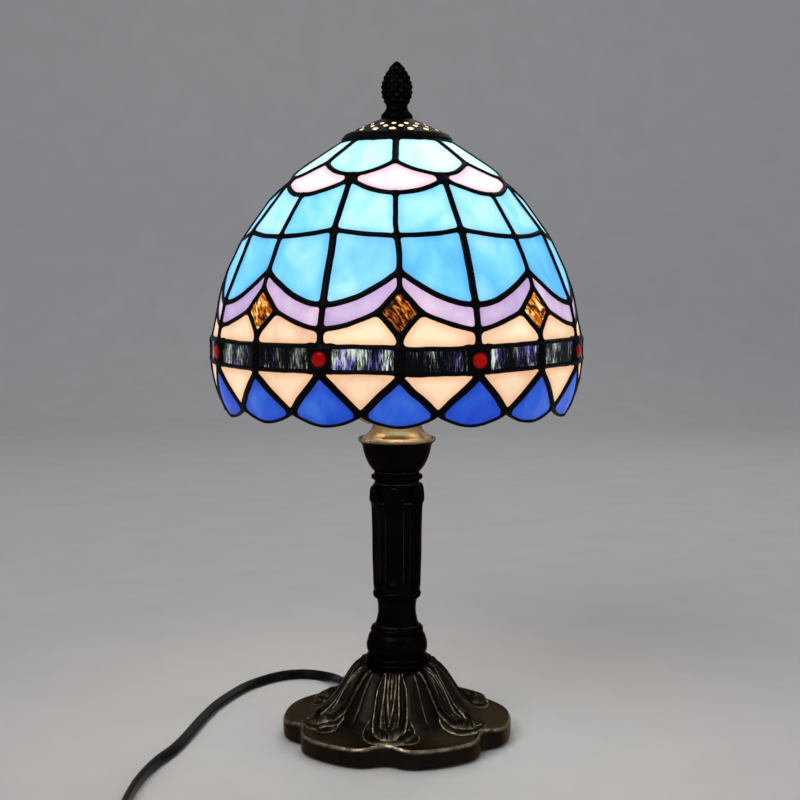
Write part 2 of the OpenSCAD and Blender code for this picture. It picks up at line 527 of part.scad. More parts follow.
switch_x = -124;
switch_y = -182;
switch_l = 58;
switch_w = 25;
split_z = 8.5;
switch_h = 17;
coil_x = -58;
coil_y = -207;
coil_r = 33;
turn_w = 6.3;
coil_half = 1.5 * turn_w;
link_route = [[switch_x, switch_y - switch_l / 2, 7, 0], [-123.6, -219, 5.4, 0], [-121, -227, 3.6, 0],
    [-115, -235.5, 2.4, 0], [-107, -241.5, low, 0], [-98, -245, low, 0], [-90, -246.2, low, 0],
    [-82, -246.3, low, 0]];
tail_route = [[-34, -246.3, 5.7, 0], [-28, -246.3, 5.9, 0], [-20, -246.1, 6.5, 0], [-12, -246, 6.8, 0]];
module cord_link() color(black_plastic) {
    sweep(link_route, cord_w, cord_t);
    sweep(tail_route, cord_w, cord_t);
}
module cord_coil() color(black_plastic) translate([coil_x, coil_y, 0]) rotate_extrude()
    translate([coil_r - coil_half, 0]) square([2 * coil_half, 2 * cord_t + 0.2]);

plug_at = [-12, -246, 6.8];
module plug_body() color(black_plastic) translate(plug_at) {
    rotate([0, 90, 0]) cylinder(r1 = 3.6, r2 = 5.6, h = 22);
    translate([22, 0, 0]) rotate([0, 90, 0]) linear_extrude(34)
        polygon([[-6.8, -6], [-2, -17.5], [2, -17.5], [6.8, -6], [6.8, 6], [2, 17.5], [-2, 17.5],
            [-6.8, 6]]);
}
module plug_pins() color(steel) translate(plug_at) for (side = [-1, 1]) translate([56, side * 9.3, 0])
    rotate([0, 90, 0]) {
        cylinder(r = 1.9, h = 10);
        translate([0, 0, 10]) cylinder(r = 2, h = 9);
    }

// Places children at the middle of the switch, on the table
module at_switch() translate([switch_x, switch_y, 0]) children();
module switch_outline(w, l) {
    square([w, l - w * 0.8], center = true);
    for (side = [-1, 1]) translate([0, side * (l / 2 - w * 0.4)]) intersection() {
        translate([0, -side * w * 0.28]) circle(r = w * 0.68);
        square([w, w * 0.8], center = true);
    }
}
screw_at = 19;
module switch_lower() color(black_plastic) at_switch() difference() {
    linear_extrude(split_z - 0.1) switch_outline(switch_w, switch_l);
    translate([-9, -13, 2]) cube([18, 26, 12]);
    for (side = [-1, 1]) translate([0, side * screw_at, -1]) cylinder(r = 1.35, h = 20);
}
pivot_z = 13;
slot_w = 9.4;
slot_l = 21.4;
module switch_upper() color(black_plastic) at_switch() difference() {
    translate([0, 0, split_z]) linear_extrude(switch_h - split_z) switch_outline(switch_w, switch_l);
    translate([-slot_w / 2, -slot_l / 2, 0]) cube([slot_w, slot_l, 30]);
    translate([0, 0, pivot_z]) rotate([0, 90, 0]) cylinder(r = 1.3, h = 16, center = true);
    for (side = [-1, 1]) translate([0, side * screw_at, 0]) cylinder(r = 1.35, h = 14);
}
module switch_screws() color(steel) at_switch() for (side = [-1, 1]) translate([0, side * screw_at, 0.6])
    cylinder(r = 1.25, h = 13);
rocker_tilt = 8;
module switch_rocker() color("#202020") at_switch() translate([0, 0, pivot_z]) rotate([rocker_tilt, 0, 0]) {
    rotate([90, 0, 90]) linear_extrude(slot_w - 0.8, center = true)
        polygon([[-9.8, 2.2], [-9.8, 4.6], [0, 3.4], [9.8, 4.6], [9.8, 2.2], [4, -2], [-4, -2]]);
    rotate([0, 90, 0]) cylinder(r = 1.2, h = 15, center = true);
}

petal_glass();
blush_glass();
upper_sky_glass();
lower_sky_glass();
lavender_glass();
amber_diamonds();
cream_glass();
belt_glass();
ruby_gems();
cream_triangles();
cobalt_scallops();
crown_ring();
arc_seams();
rib_seams();
diamond_frames();
belt_cames();
gem_bezels();
zigzag_seam();
scallop_edge();
vented_cap();
felt_pad();
bottom_plate();
base_casting();
pipe_washer();
pipe_nuts();
lamp_pipe();
stem_knop();
column();
column_collar();
cup();
cup_cover();
harp();
holder_cap();
holder_shell();
screw_shell();
holder_base();
centre_contact();
terminal_screws();
inner_wires();
harp_stud();
stud_nut();
shade_saddle();
cord_gland();
cord_run();
cord_link();
cord_coil();
plug_body();
plug_pins();
switch_lower();
switch_upper();
switch_rocker();
switch_screws();
bulb_contact();
bulb_cap();
bulb_insulator();
bulb_glass();
bulb_mount();
filament();
finial_insert();
finial();
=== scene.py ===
"""The looks of the stained glass table lamp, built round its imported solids.

Lengths are in millimetres until a mesh is made, which is in metres. Angles are in degrees, measured
from the front of the lamp (-Y) towards +X. The order is: camera, materials, cord, stage, shade, stand.
"""
import math

import bmesh
import bpy
import numpy as np
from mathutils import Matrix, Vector, noise
from mathutils.geometry import delaunay_2d_cdt


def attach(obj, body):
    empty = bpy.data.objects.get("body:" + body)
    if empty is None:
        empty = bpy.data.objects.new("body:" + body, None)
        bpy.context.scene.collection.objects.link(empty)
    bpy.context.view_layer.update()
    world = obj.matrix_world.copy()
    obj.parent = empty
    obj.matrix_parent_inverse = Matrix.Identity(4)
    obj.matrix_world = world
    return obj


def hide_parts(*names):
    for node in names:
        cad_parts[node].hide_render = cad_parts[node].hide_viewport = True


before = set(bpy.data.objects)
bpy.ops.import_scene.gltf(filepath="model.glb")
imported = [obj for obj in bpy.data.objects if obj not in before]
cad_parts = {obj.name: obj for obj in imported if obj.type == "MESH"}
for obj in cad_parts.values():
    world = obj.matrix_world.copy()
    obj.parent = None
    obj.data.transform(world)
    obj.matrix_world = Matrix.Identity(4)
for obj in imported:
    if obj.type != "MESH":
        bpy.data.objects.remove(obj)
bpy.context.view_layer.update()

MM = 0.001


# ---------------- helpers

def unit(v):
    v = np.asarray(v, float)
    return v / np.maximum(np.linalg.norm(v, axis=-1, keepdims=True), 1e-9)


def smoothstep(lo, hi, x):
    t = np.clip((np.asarray(x, float) - lo) / (hi - lo), 0, 1)
    return t * t * (3 - 2 * t)


def ridge(x, at, wide):
    return np.exp(-((x - at) / wide) ** 2)


def hump(x):
    return np.clip(1 - x ** 2, 0, 1)


def points(text):
    """A table of numbers as tuples. A bar after a point gives it twice."""
    found = []
    for word in text.split(","):
        point = tuple(map(float, word.replace("|", "").split()))
        found += [point] * (1 + word.count("|"))
    return found


def polar(th, r, z):
    """Points in space at those angles round the lamp, radii and heights."""
    t = np.radians(th)
    return np.stack([r * np.sin(t), -r * np.cos(t), z], -1)


def wave(p, size, seed=0.0):
    """Smooth noise from -1 to 1 at each point, with features of about that size in mm."""
    return np.array([noise.noise(Vector((x / size + seed, y / size, z / size))) for x, y, z in p])


def spline(points, step, closed=False):
    """A smooth line through the points (any number of columns), resampled every step mm."""
    p = np.asarray(points, float)
    q = np.vstack([p[-1], p, p[0], p[1]]) if closed else np.vstack([2 * p[0] - p[1], p, 2 * p[-1] - p[-2]])
    fine = []
    for a, b, c, d in zip(q[:-3], q[1:-2], q[2:-1], q[3:]):
        t = np.linspace(0, 1, 16, endpoint=False)[:, None]
        fine.append(0.5 * (2 * b + (c - a) * t + (2 * a - 5 * b + 4 * c - d) * t**2
                           + (3 * b - a - 3 * c + d) * t**3))
    fine = np.vstack(fine + ([q[1:2]] if closed else [q[-2:-1]]))
    run = np.concatenate([[0], np.cumsum(np.linalg.norm(np.diff(fine[:, :3], axis=0), axis=1))])
    at = np.linspace(0, run[-1], max(3, int(round(run[-1] / step)) + 1))
    out = np.column_stack([np.interp(at, run, fine[:, k]) for k in range(fine.shape[1])])
    return out[:-1] if closed else out


def link(obj):
    bpy.context.scene.collection.objects.link(obj)
    return obj


def put(mesh, key, data):
    """Stores a number or a vector at each point of the mesh."""
    data = np.asarray(data, float)
    kind, field = ("FLOAT", "value") if data.ndim == 1 else ("FLOAT_VECTOR", "vector")
    mesh.attributes.new(key, kind, "POINT").data.foreach_set(field, data.ravel())


def make(name, verts, faces, material, body, replaces=(), weld=0.0, attrs=None, keep_angle=None):
    """A mesh object from points in mm, riding on a body."""
    mesh = bpy.data.meshes.new(name)
    mesh.from_pydata((np.asarray(verts, float) * MM).tolist(), [], [list(f) for f in faces])
    for key, data in (attrs or {}).items():
        put(mesh, key, data)
    if weld:
        bm = bmesh.new()
        bm.from_mesh(mesh)
        bmesh.ops.remove_doubles(bm, verts=bm.verts, dist=weld * MM)
        bmesh.ops.dissolve_degenerate(bm, edges=bm.edges, dist=1e-7)
        bmesh.ops.recalc_face_normals(bm, faces=bm.faces)
        bm.to_mesh(mesh)
        bm.free()
    mesh.validate()
    mesh.polygons.foreach_set("use_smooth", [True] * len(mesh.polygons))
    if keep_angle:
        mesh.set_sharp_from_angle(angle=math.radians(keep_angle))
    obj = link(bpy.data.objects.new(name, mesh))
    mesh.materials.append(material)
    if body:
        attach(obj, body)
    if replaces:
        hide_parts(*replaces)
    return obj


def grid_faces(rows, cols, wrap_cols=False, wrap_rows=False, base=0):
    """Quads over a grid of points kept row by row."""
    i, j = np.meshgrid(np.arange(rows if wrap_rows else rows - 1), np.arange(cols if wrap_cols else cols - 1),
                       indexing="ij")
    i, j = i.ravel(), j.ravel()
    i2, j2 = (i + 1) % rows, (j + 1) % cols
    return (np.column_stack([i * cols + j, i * cols + j2, i2 * cols + j2, i2 * cols + j]) + base).tolist()


def wear_and_highlight_of(obj, low, high, at_least=0.0):
    """Adds the attribute wear_and_highlight: 0 where the surface is flat or hollow, 1 on sharp ridges (1/mm),
    and no less than at_least. The ridges stand for worn metal and for a painted highlight.
    """
    mesh = obj.data
    n = len(mesh.vertices)
    v, nrm = np.zeros(n * 3), np.zeros(n * 3)
    mesh.vertices.foreach_get("co", v)
    mesh.vertex_normals.foreach_get("vector", nrm)
    v, nrm = v.reshape(-1, 3) / MM, nrm.reshape(-1, 3)
    e = np.zeros(len(mesh.edges) * 2, int)
    mesh.edges.foreach_get("vertices", e)
    a, b = e.reshape(-1, 2).T
    d = v[b] - v[a]
    length2 = np.maximum((d * d).sum(1), 1e-6)
    total, count = np.zeros(n), np.zeros(n)
    for at, way in ((a, -1), (b, 1)):
        np.add.at(total, at, way * (nrm[at] * d).sum(1) / length2 * 2)
        np.add.at(count, at, 1)
    curve = total / np.maximum(count, 1)
    around = np.zeros(n)
    np.add.at(around, a, curve[b])
    np.add.at(around, b, curve[a])
    curve = 0.5 * curve + 0.5 * around / np.maximum(count, 1)
    put(mesh, "wear_and_highlight", np.maximum(smoothstep(low, high, curve), at_least))


def lathe(outline, segments, step, relief=None):
    """Points and faces of a turned shape. Its outline is closed here, and a point given twice is a corner."""
    outline = outline + [outline[-1], outline[0]]
    ends = [0] + [k for k in range(1, len(outline)) if outline[k] == outline[k - 1]] + [len(outline)]
    line = []
    for start, end in zip(ends, ends[1:]):
        part = outline[start:end]
        if len(part) == 2:
            n = max(2, int(np.hypot(*(np.subtract(part[1], part[0]))) / (step * 2)) + 1)
            fine = np.column_stack([np.linspace(a, b, n) for a, b in zip(*part)])
        else:
            fine = spline([(r, 0, z) for r, z in part], step)[:, [0, 2]]
        line.append(fine[:-1])
    line = np.vstack(line)
    r, z = np.repeat(line[:, 0], segments), np.repeat(line[:, 1], segments)
    th = np.tile(np.arange(segments) * 360 / segments, len(line))
    if relief:
        dr, dz = relief(th, r, z)
        r, z = r + dr, z + dz
    return polar(th, r, z), grid_faces(len(line), segments, wrap_cols=True, wrap_rows=True)


# ---------------- camera

CAMERA_BACK, CAMERA_HEIGHT, CAMERA_DOWN, CAMERA_TURN = 753.6, 253.7, 5.256, -0.126
camera = bpy.data.objects.new("camera", bpy.data.cameras.new("camera"))
camera.data.lens, camera.data.sensor_width = 63.12, 36
camera.data.clip_start = 0.01
camera.location = (0, -CAMERA_BACK * MM, CAMERA_HEIGHT * MM)
camera.rotation_euler = (math.radians(90 - CAMERA_DOWN), 0, math.radians(CAMERA_TURN))
link(camera)
bpy.context.scene.camera = camera


# ---------------- materials

class Nodes:
    """A material's nodes, with a short way to add and join them."""

    def __init__(self, name):
        self.material = bpy.data.materials.new(name)
        self.material.use_nodes = True
        self.tree = self.material.node_tree
        self.shader = self.tree.nodes["Principled BSDF"]

    def add(self, kind, inputs=(), **props):
        node = self.tree.nodes.new(kind)
        for key, value in props.items():
            setattr(node, key, value)
        for key, value in dict(inputs).items():
            self.join(value, node.inputs[key])
        return node

    def join(self, value, socket):
        if isinstance(value, bpy.types.NodeSocket):
            self.tree.links.new(value, socket)
        else:
            socket.default_value = (*value, 1) if socket.type == "RGBA" else value

    def math(self, operation, a, b=0.0, clamp=False):
        return self.add("ShaderNodeMath", {0: a, 1: b}, operation=operation, use_clamp=clamp).outputs[0]

    def vector(self, operation, a, b):
        return self.add("ShaderNodeVectorMath", {0: a, 1: b}, operation=operation).outputs[0]

    def noise(self, scale, detail=3.0, rough=0.55, at=None, stretch=None, distortion=0.0, seed=0.0):
        """Noise in mm: scale is cycles in a millimetre. at is a vector socket, else object coordinates."""
        if at is None:
            at = self.vector("MULTIPLY", self.add("ShaderNodeTexCoord").outputs["Object"], (1 / MM,) * 3)
        if stretch:
            at = self.vector("MULTIPLY", at, stretch)
        if seed:
            at = self.vector("ADD", at, (seed, seed * 1.7, seed * 0.6))
        return self.add("ShaderNodeTexNoise", {"Vector": at, "Scale": scale, "Detail": detail,
                                               "Roughness": rough, "Distortion": distortion}).outputs[0]

    def ramp(self, fac, stops):
        node = self.add("ShaderNodeValToRGB", {0: fac})
        elements = node.color_ramp.elements
        while len(elements) < len(stops):
            elements.new(0.5)
        for element, (position, colour) in zip(elements, stops):
            element.position = position
            element.color = (*colour, 1)
        return node.outputs[0]

    def span(self, value, to_lo, to_hi, lo=0.3, hi=0.7):
        """Takes lo to hi of the value, as noise mostly has, to another range."""
        return self.add("ShaderNodeMapRange", {0: value, 1: lo, 2: hi, 3: to_lo, 4: to_hi}).outputs[0]

    def mix(self, fac, a, b, blend="MIX"):
        node = self.add("ShaderNodeMix", data_type="RGBA", blend_type=blend)
        for key, value in ((0, fac), (6, a), (7, b)):
            self.join(value, node.inputs[key])
        return node.outputs[2]

    def bump(self, height, strength, distance):
        return self.add("ShaderNodeBump", {"Height": height, "Strength": strength,
                                           "Distance": distance * MM}).outputs[0]

    def attribute(self, name, output="Fac"):
        return self.add("ShaderNodeAttribute", attribute_name=name).outputs[output]

    def set(self, **values):
        for key, value in values.items():
            self.join(value, self.shader.inputs[key.replace("_", " ")])
        return self.material


def metal(name, dark, rub_and_highlight, low, high, gloss, shine=0.9, grain=0.12, rub_and_highlight_noise=0.35, tint=(1, 1, 1)):
    """Patinated cast metal: dark in the hollows, and pale on the ridges that wear_and_highlight marks, which
    are partly worn metal and partly a painted highlight.
    """
    n = Nodes(name)
    patches = n.noise(rub_and_highlight_noise, 4, 0.65)
    # Ridges marked in wear_and_highlight: worn metal and a painted highlight
    rubbed_and_highlit = n.math("MULTIPLY", n.attribute("wear_and_highlight"), n.span(patches, 0.15, 1.0, 0.35, 0.62), clamp=True)
    tone = n.ramp(n.noise(0.09, 5, 0.6, seed=11), [(0.3, dark), (0.7, tuple(c * 1.7 + 0.001 for c in dark))])
    pits = n.noise(1.6, 6, 0.7, seed=3)
    rough = n.math("SUBTRACT", n.span(pits, low, high), n.math("MULTIPLY", rubbed_and_highlit, 0.12), clamp=True)
    return n.set(Base_Color=n.mix(rubbed_and_highlit, tone, rub_and_highlight), Metallic=shine, Specular_IOR_Level=gloss,
                 Specular_Tint=tint, Roughness=rough, Normal=n.bump(pits, grain, 0.35))


def plain_metal(name, colour, low, high, scale=0.6, grain=0.05):
    n = Nodes(name)
    smear = n.noise(scale, 5, 0.6)
    return n.set(Base_Color=n.ramp(smear, [(0.3, tuple(c * 0.8 for c in colour)), (0.7, colour)]),
                 Metallic=1.0, Roughness=n.span(smear, low, high), Normal=n.bump(smear, grain, 0.2))


def plastic(name, colour, low=0.32, high=0.46, grain=0.08, scale=2.5, gloss=0.5):
    n = Nodes(name)
    fine = n.noise(scale, 3, 0.6)
    return n.set(Base_Color=n.ramp(fine, [(0.3, colour), (0.8, tuple(c * 1.35 + 0.002 for c in colour))]),
                 Roughness=n.span(n.noise(0.12, 4, 0.6, seed=5), low, high), Specular_IOR_Level=gloss,
                 Normal=n.bump(fine, grain, 0.12))


BRONZE = metal("antique_bronze", (0.0105, 0.0078, 0.0060), (0.56, 0.46, 0.30), 0.28, 0.46,
               gloss=0.2, tint=(0.80, 0.66, 0.53))
DARK_BRONZE = metal("dark_bronze", (0.0025, 0.0021, 0.002), (0.05, 0.04, 0.03), 0.34, 0.52,
                    gloss=0.15, tint=(0.35, 0.30, 0.26))
STEM_BRONZE = metal("stem_bronze", (0.0028, 0.0021, 0.0018), (0.30, 0.24, 0.18), 0.26, 0.42,
                    gloss=0.15, tint=(0.42, 0.34, 0.28))
CUP_BRONZE = metal("cup_bronze", (0.0030, 0.0023, 0.002), (0.80, 0.62, 0.36), 0.3, 0.46,
                   rub_and_highlight_noise=0.05, gloss=0.15, tint=(0.5, 0.4, 0.3))
SOLDER = metal("black_solder", (0.0009, 0.0008, 0.001), (0.010, 0.009, 0.0085), 0.36, 0.54,
               shine=0.1, grain=0.2, gloss=0.06)
AGED_BRASS = plain_metal("aged_brass", (0.50, 0.37, 0.20), 0.27, 0.40, 0.1, 0.02)
BRASS = plain_metal("brass", (0.62, 0.42, 0.16), 0.22, 0.34, 0.12, 0.02)
STEEL = plain_metal("zinc_steel", (0.55, 0.55, 0.54), 0.22, 0.4)
BLACK = plastic("black_pvc", (0.0022, 0.0022, 0.0026), 0.24, 0.36, gloss=0.08)
BLACK_GLOSS = plastic("black_moulding", (0.006, 0.006, 0.0065), 0.22, 0.34, 0.05, 1.2, gloss=0.25)
PORCELAIN = plastic("porcelain", (0.66, 0.62, 0.54), 0.3, 0.5, 0.05)
COPPER_WIRE = plastic("wire_sheath", (0.20, 0.07, 0.03), 0.35, 0.5)


def felt():
    n = Nodes("green_felt")
    fibres = n.noise(1.4, 8, 0.8)
    return n.set(Base_Color=n.ramp(fibres, [(0.3, (0.008, 0.035, 0.018)), (0.75, (0.03, 0.09, 0.05))]),
                 Roughness=0.95, Sheen_Weight=0.4, Normal=n.bump(fibres, 0.5, 0.5))


def cap_metal():
    """The vent cap: black outside, and pale brass on its underside with a painted glow there, standing in for
    the bulb's light on it.
    """
    n = Nodes("vent_cap_metal")
    normal = n.add("ShaderNodeNewGeometry").outputs["Normal"]
    # Down-facing surfaces: pale brass, and a painted glow of the bulb's light
    under = n.span(n.add("ShaderNodeSeparateXYZ", {0: normal}).outputs[2], 0.0, 1.0, -0.05, -0.3)
    smear = n.noise(0.35, 5, 0.6)
    dark = n.ramp(smear, [(0.3, (0.003, 0.0026, 0.0026)), (0.75, (0.006, 0.005, 0.005))])
    pale = n.ramp(smear, [(0.3, (0.62, 0.50, 0.34)), (0.7, (0.80, 0.68, 0.48))])
    return n.set(Base_Color=n.mix(under, dark, pale), Metallic=0.15, Specular_IOR_Level=0.04,
                 Emission_Color=(1.0, 0.78, 0.50), Emission_Strength=n.math("MULTIPLY", under, 0.85),
                 Roughness=n.span(smear, 0.36, 0.52), Normal=n.bump(n.noise(1.3, 5, 0.65, seed=3), 0.12, 0.3))


def bulb_light_glass():
    """The frosted envelope, which gives the lamp's light."""
    n = Nodes("warm_frosted_bulb")
    frost = n.noise(0.12, 3, 0.5)
    return n.set(Base_Color=(0.9, 0.86, 0.78), Roughness=n.span(frost, 0.2, 0.3),
                 Emission_Color=n.ramp(frost, [(0.3, (1.0, 0.66, 0.36)), (0.7, (1.0, 0.74, 0.46))]),
                 Emission_Strength=n.span(frost, 17.0, 21.0))


FELT = felt()
VENT_METAL = cap_metal()
BULB_GLASS = bulb_light_glass()
GOLDEN = 0.6180339


def lit_glass(name, stops, streak=(0.10, 0.05, 1.0), scale=1.0, swirl=0.5, body=0.32, detail=3.0,
              pane_shift=0.16, soft=0.0, slant=0.0, edge=(1, 1, 1), coat=0.12, gloss=0.3):
    """Sheet glass lit from behind, its colour also given as emission: a painted glow that stands in for the
    bulb's light through it. The attribute flow holds the distance round, the height and a number for each
    pane. soft mixes in broad clouds, slant leans the streaks, and edge tints a pane near its seams."""
    n = Nodes(name)
    flow = streak_at = n.attribute("flow", "Vector")
    if slant:
        lean = n.add("ShaderNodeVectorRotate", {0: flow, "Angle": slant}, rotation_type="Z_AXIS")
        streak_at = lean.outputs[0]
    cloud = n.noise(scale, detail, 0.55, at=streak_at, stretch=streak, distortion=swirl)
    if soft:
        broad = n.noise(0.045, 2, 0.5, at=flow, stretch=(1, 0.8, 1), distortion=0.8, seed=5)
        cloud = n.math("ADD", n.math("MULTIPLY", cloud, 1 - soft), n.math("MULTIPLY", broad, soft))
    number = n.add("ShaderNodeSeparateXYZ", {0: flow}).outputs[2]
    pane = n.math("FRACT", n.math("MULTIPLY", number, GOLDEN))
    tone = n.math("ADD", cloud, n.math("MULTIPLY", n.math("SUBTRACT", pane, 0.5), pane_shift))
    tint = n.span(n.attribute("rim"), 1.0, 0.0, 0.0, 0.75)
    colours = n.ramp(tone, [(at, colour) for at, *colour in points(stops)])
    colour = n.mix(tint, colours, edge, "MULTIPLY")
    waves = n.noise(0.22, 4, 0.55, at=flow, stretch=(1, 0.4, 1), seed=2)
    # The emission is the painted glow of the light shining through the pane
    return n.set(Base_Color=n.mix(1.0, colour, (body,) * 3, "MULTIPLY"), Roughness=n.span(waves, 0.10, 0.24),
                 Coat_Weight=coat, Coat_Roughness=0.08, Specular_IOR_Level=gloss, Emission_Color=colour,
                 Emission_Strength=1.0, Normal=n.bump(waves, 0.12, 0.6))


def belt_glass():
    """Dark wispy glass: fine upright strokes of grey, violet and green over black, thicker in some places.
    Its colour is also its emission, a painted glow of the light through it.
    """
    n = Nodes("streaky_navy")
    flow = n.attribute("flow", "Vector")
    strokes = n.noise(1.0, 6, 0.68, at=flow, stretch=(1.25, 0.17, 1), distortion=0.5)
    broad = n.noise(0.085, 2, 0.5, at=flow, stretch=(1, 0.4, 1), seed=5)
    hue = n.noise(0.13, 2, 0.5, at=flow, stretch=(1, 0.3, 1), seed=9)
    tone = n.math("ADD", strokes, n.math("MULTIPLY", n.math("SUBTRACT", broad, 0.52), 0.9))
    tint = n.ramp(hue, [(0.42, (0.34, 0.30, 1.0)), (0.50, (0.70, 0.68, 1.0)), (0.56, (0.72, 0.95, 0.62)),
                        (0.66, (0.85, 0.90, 1.0))])
    light = n.ramp(tone, [(0.46, (0.0008, 0.0008, 0.001)), (0.53, (0.05, 0.05, 0.055)),
                          (0.59, (0.24, 0.24, 0.25)), (0.67, (0.85, 0.85, 0.87))])
    colour = n.mix(1.0, light, tint, "MULTIPLY")
    return n.set(Base_Color=n.mix(1.0, colour, (0.15,) * 3, "MULTIPLY"), Roughness=n.span(strokes, 0.12, 0.3),
                 Coat_Weight=0.06, Coat_Roughness=0.1, Specular_IOR_Level=0.15, Emission_Color=colour,
                 Emission_Strength=1.0, Normal=n.bump(strokes, 0.15, 0.4))


# ---------------- cord

CORD_W, CORD_T = 6.0, 3.8
FOOT_R, LOBE, NOTCH_D, NOTCH_HALF, NOTCH_FROM = 62.5, 60.0, 6.0, 8.5, -6.0
GLAND_AT, GLAND_Z, BOOT_L = 203.0, 6.0, 20.0


def from_notch(th):
    """Degrees from the nearest notch between two lobes of the foot."""
    off = np.asarray(th, float) - NOTCH_FROM
    return off - LOBE * np.round(off / LOBE)


def foot_radius(th):
    return FOOT_R - NOTCH_D * ridge(from_notch(th), 0, NOTCH_HALF)


boot_tip = polar(GLAND_AT, float(foot_radius(GLAND_AT)) + BOOT_L, GLAND_Z)
# The cord's middle as x, y, height, and its roll in degrees: 0 lies flat, 90 stands on edge
cord_route = [(*boot_tip, 0)] + points("""
    -36 84.5 4.9 20, -40 92.5 3.8 45, -46.5 99.3 3.0 65, -55 102.8 2.98 72, -65 102.4 2.98 72,
    -75 97.4 2.9 62, -84 88.4 2.75 48, -92 77 2.55 35, -99 61 2.35 22, -105 42 2.25 18, -109 22 2.25 18,
    -112 2 2.25 18, -114.5 -17 2.35 25, -118 -36 2.6 45, -122.5 -52 3 70, -126 -68 3 90, -128 -84 3 90,
    -128.6 -100 3 90, -128 -115 3.2 75, -126.5 -129 4 45, -124.6 -142 5.6 15, -124 -153 7 0,
    -124 -168 7 0, -124 -182 7 0, -124 -196 7 0""")
link_route = points("""
    -124 -211 7 0, -123.6 -219 5.4 0, -121 -227 3.6 0, -115 -235.5 2.6 0, -107 -241.5 2.3 0,
    -98 -245 2.3 0, -90 -246.2 2.3 0, -82 -246.3 2.3 0""")
tail_route = points("""
    -34 -246.3 5.7 0, -28 -246.3 5.9 0, -20 -246.1 6.5 0, -12 -246 6.8 0""")
COIL_X, COIL_Y, COIL_R, TURN_W, COIL_LIFT, LAYER = -58.0, -207.0, 33.0, 6.3, 0.4, CORD_T + 0.1


def coil_points():
    """Three turns inwards on the table, then three turns outwards on top of them."""
    found, steps = [], 24
    for k in range(6 * steps + 1):
        turn = k / steps
        last = min(turn, 5.999)
        step = math.floor(last) + float(smoothstep(0.8, 1.0, last % 1))
        ring = min(step, 2.0) if step < 3 else max(5.0 - step, 0.0)
        r, a = COIL_R + TURN_W * (1 - ring), math.radians(turn * 360 - 90)
        lift = CORD_T / 2 + COIL_LIFT + float(smoothstep(2.8, 3.05, turn)) * LAYER
        found.append((COIL_X + r * math.cos(a), COIL_Y + r * math.sin(a), lift, 0))
    return found


def tube(path, turns, w, t, sides=20, groove=0.11):
    """A flat two-core cord swept along the path, rolled about it by turns (degrees)."""
    ahead = unit(np.gradient(path, axis=0))
    across = unit(np.cross(ahead, (0, 0, 1)))
    up = np.cross(across, ahead)
    a = np.arange(sides) * 2 * math.pi / sides
    x = (w - t) / 2 * np.tanh(2.4 * np.cos(a)) / math.tanh(2.4) + t / 2 * np.cos(a)
    y = t / 2 * np.sin(a) * (1 - groove * ridge(x, 0, 0.75))
    c, s = np.cos(np.radians(turns))[:, None], np.sin(np.radians(turns))[:, None]
    px, py = x * c - y * s, x * s + y * c
    ring = path[:, None, :] + px[..., None] * across[:, None, :] + py[..., None] * up[:, None, :]
    n = len(path)
    faces = grid_faces(n, sides, wrap_cols=True)
    faces += [list(range(sides))[::-1], [(n - 1) * sides + k for k in range(sides)]]
    return ring.reshape(-1, 3), faces


whole = spline(cord_route + link_route + coil_points() + tail_route, 2.5)
verts, faces = tube(whole[:, :3], whole[:, 3], CORD_W, CORD_T)
cord = make("cord", verts, faces, BLACK, "stand", ("cord_run", "cord_link", "cord_coil"))


def coil_tie():
    """A flat tie round the coil's six turns."""
    at, corner = math.radians(70), 1.6
    out = np.array([math.cos(at), math.sin(at), 0])
    side = np.array([-math.sin(at), math.cos(at), 0])
    half_w, half_h = 1.5 * TURN_W + 0.35, (CORD_T + LAYER) / 2 + 0.3
    mid = np.array([COIL_X, COIL_Y, 0]) + out * COIL_R + np.array([0, 0, half_h + 0.12])
    loop = []
    for cx, cz, start in ((1, 1, 0), (-1, 1, 90), (-1, -1, 180), (1, -1, 270)):
        for a in np.radians(start + np.arange(7) * 15):
            loop.append((cx * (half_w - corner) + corner * math.cos(a),
                         cz * (half_h - corner) + corner * math.sin(a)))
    rings = []
    for grow, shift in ((0, -1.6), (0.22, -1.75), (0.22, 1.75), (0, 1.6), (-0.2, 1.5), (-0.2, -1.5)):
        rings.append([mid + out * (x + math.copysign(grow, x)) + side * shift
                      + np.array([0, 0, z + math.copysign(grow, z) * 0.4]) for x, z in loop])
    faces = grid_faces(len(rings), len(loop), wrap_cols=True, wrap_rows=True)
    return make("coil_tie", np.array(rings).reshape(-1, 3), faces, BLACK_GLOSS, "stand")


tie = coil_tie()


# ---------------- stage and light

def stage_floor():
    n = Nodes("studio_floor")
    n.set(Base_Color=n.ramp(n.noise(0.02, 4, 0.5), [(0.3, (0.78, 0.765, 0.75)), (0.7, (0.82, 0.805, 0.79))]),
          Roughness=0.6)
    half, bend_at, bend_r, rise = 3000.0, 1500.0, 700, 2500.0
    line = [(-half, 0)] + [(y, 0) for y in np.linspace(-500, bend_at, 12)]
    line += [(bend_at + bend_r * math.sin(math.radians(a)), bend_r - bend_r * math.cos(math.radians(a)))
             for a in range(6, 91, 6)]
    line.append((bend_at + bend_r, rise))
    verts = [(x, y, z) for y, z in line for x in (-half, half)]
    floor = make("floor", verts, grid_faces(len(line), 2), n.material, None)


def area_light(name, energy, colour, at, size):
    """A square light aimed at the middle of the lamp."""
    light = bpy.data.lights.new(name, "AREA")
    light.energy, light.color, light.size = energy, colour, size
    obj = link(bpy.data.objects.new(name, light))
    obj.location = Vector(at) * MM
    obj.rotation_euler = (Vector((0, 0, 180)) * MM - obj.location).to_track_quat("-Z", "Y").to_euler()


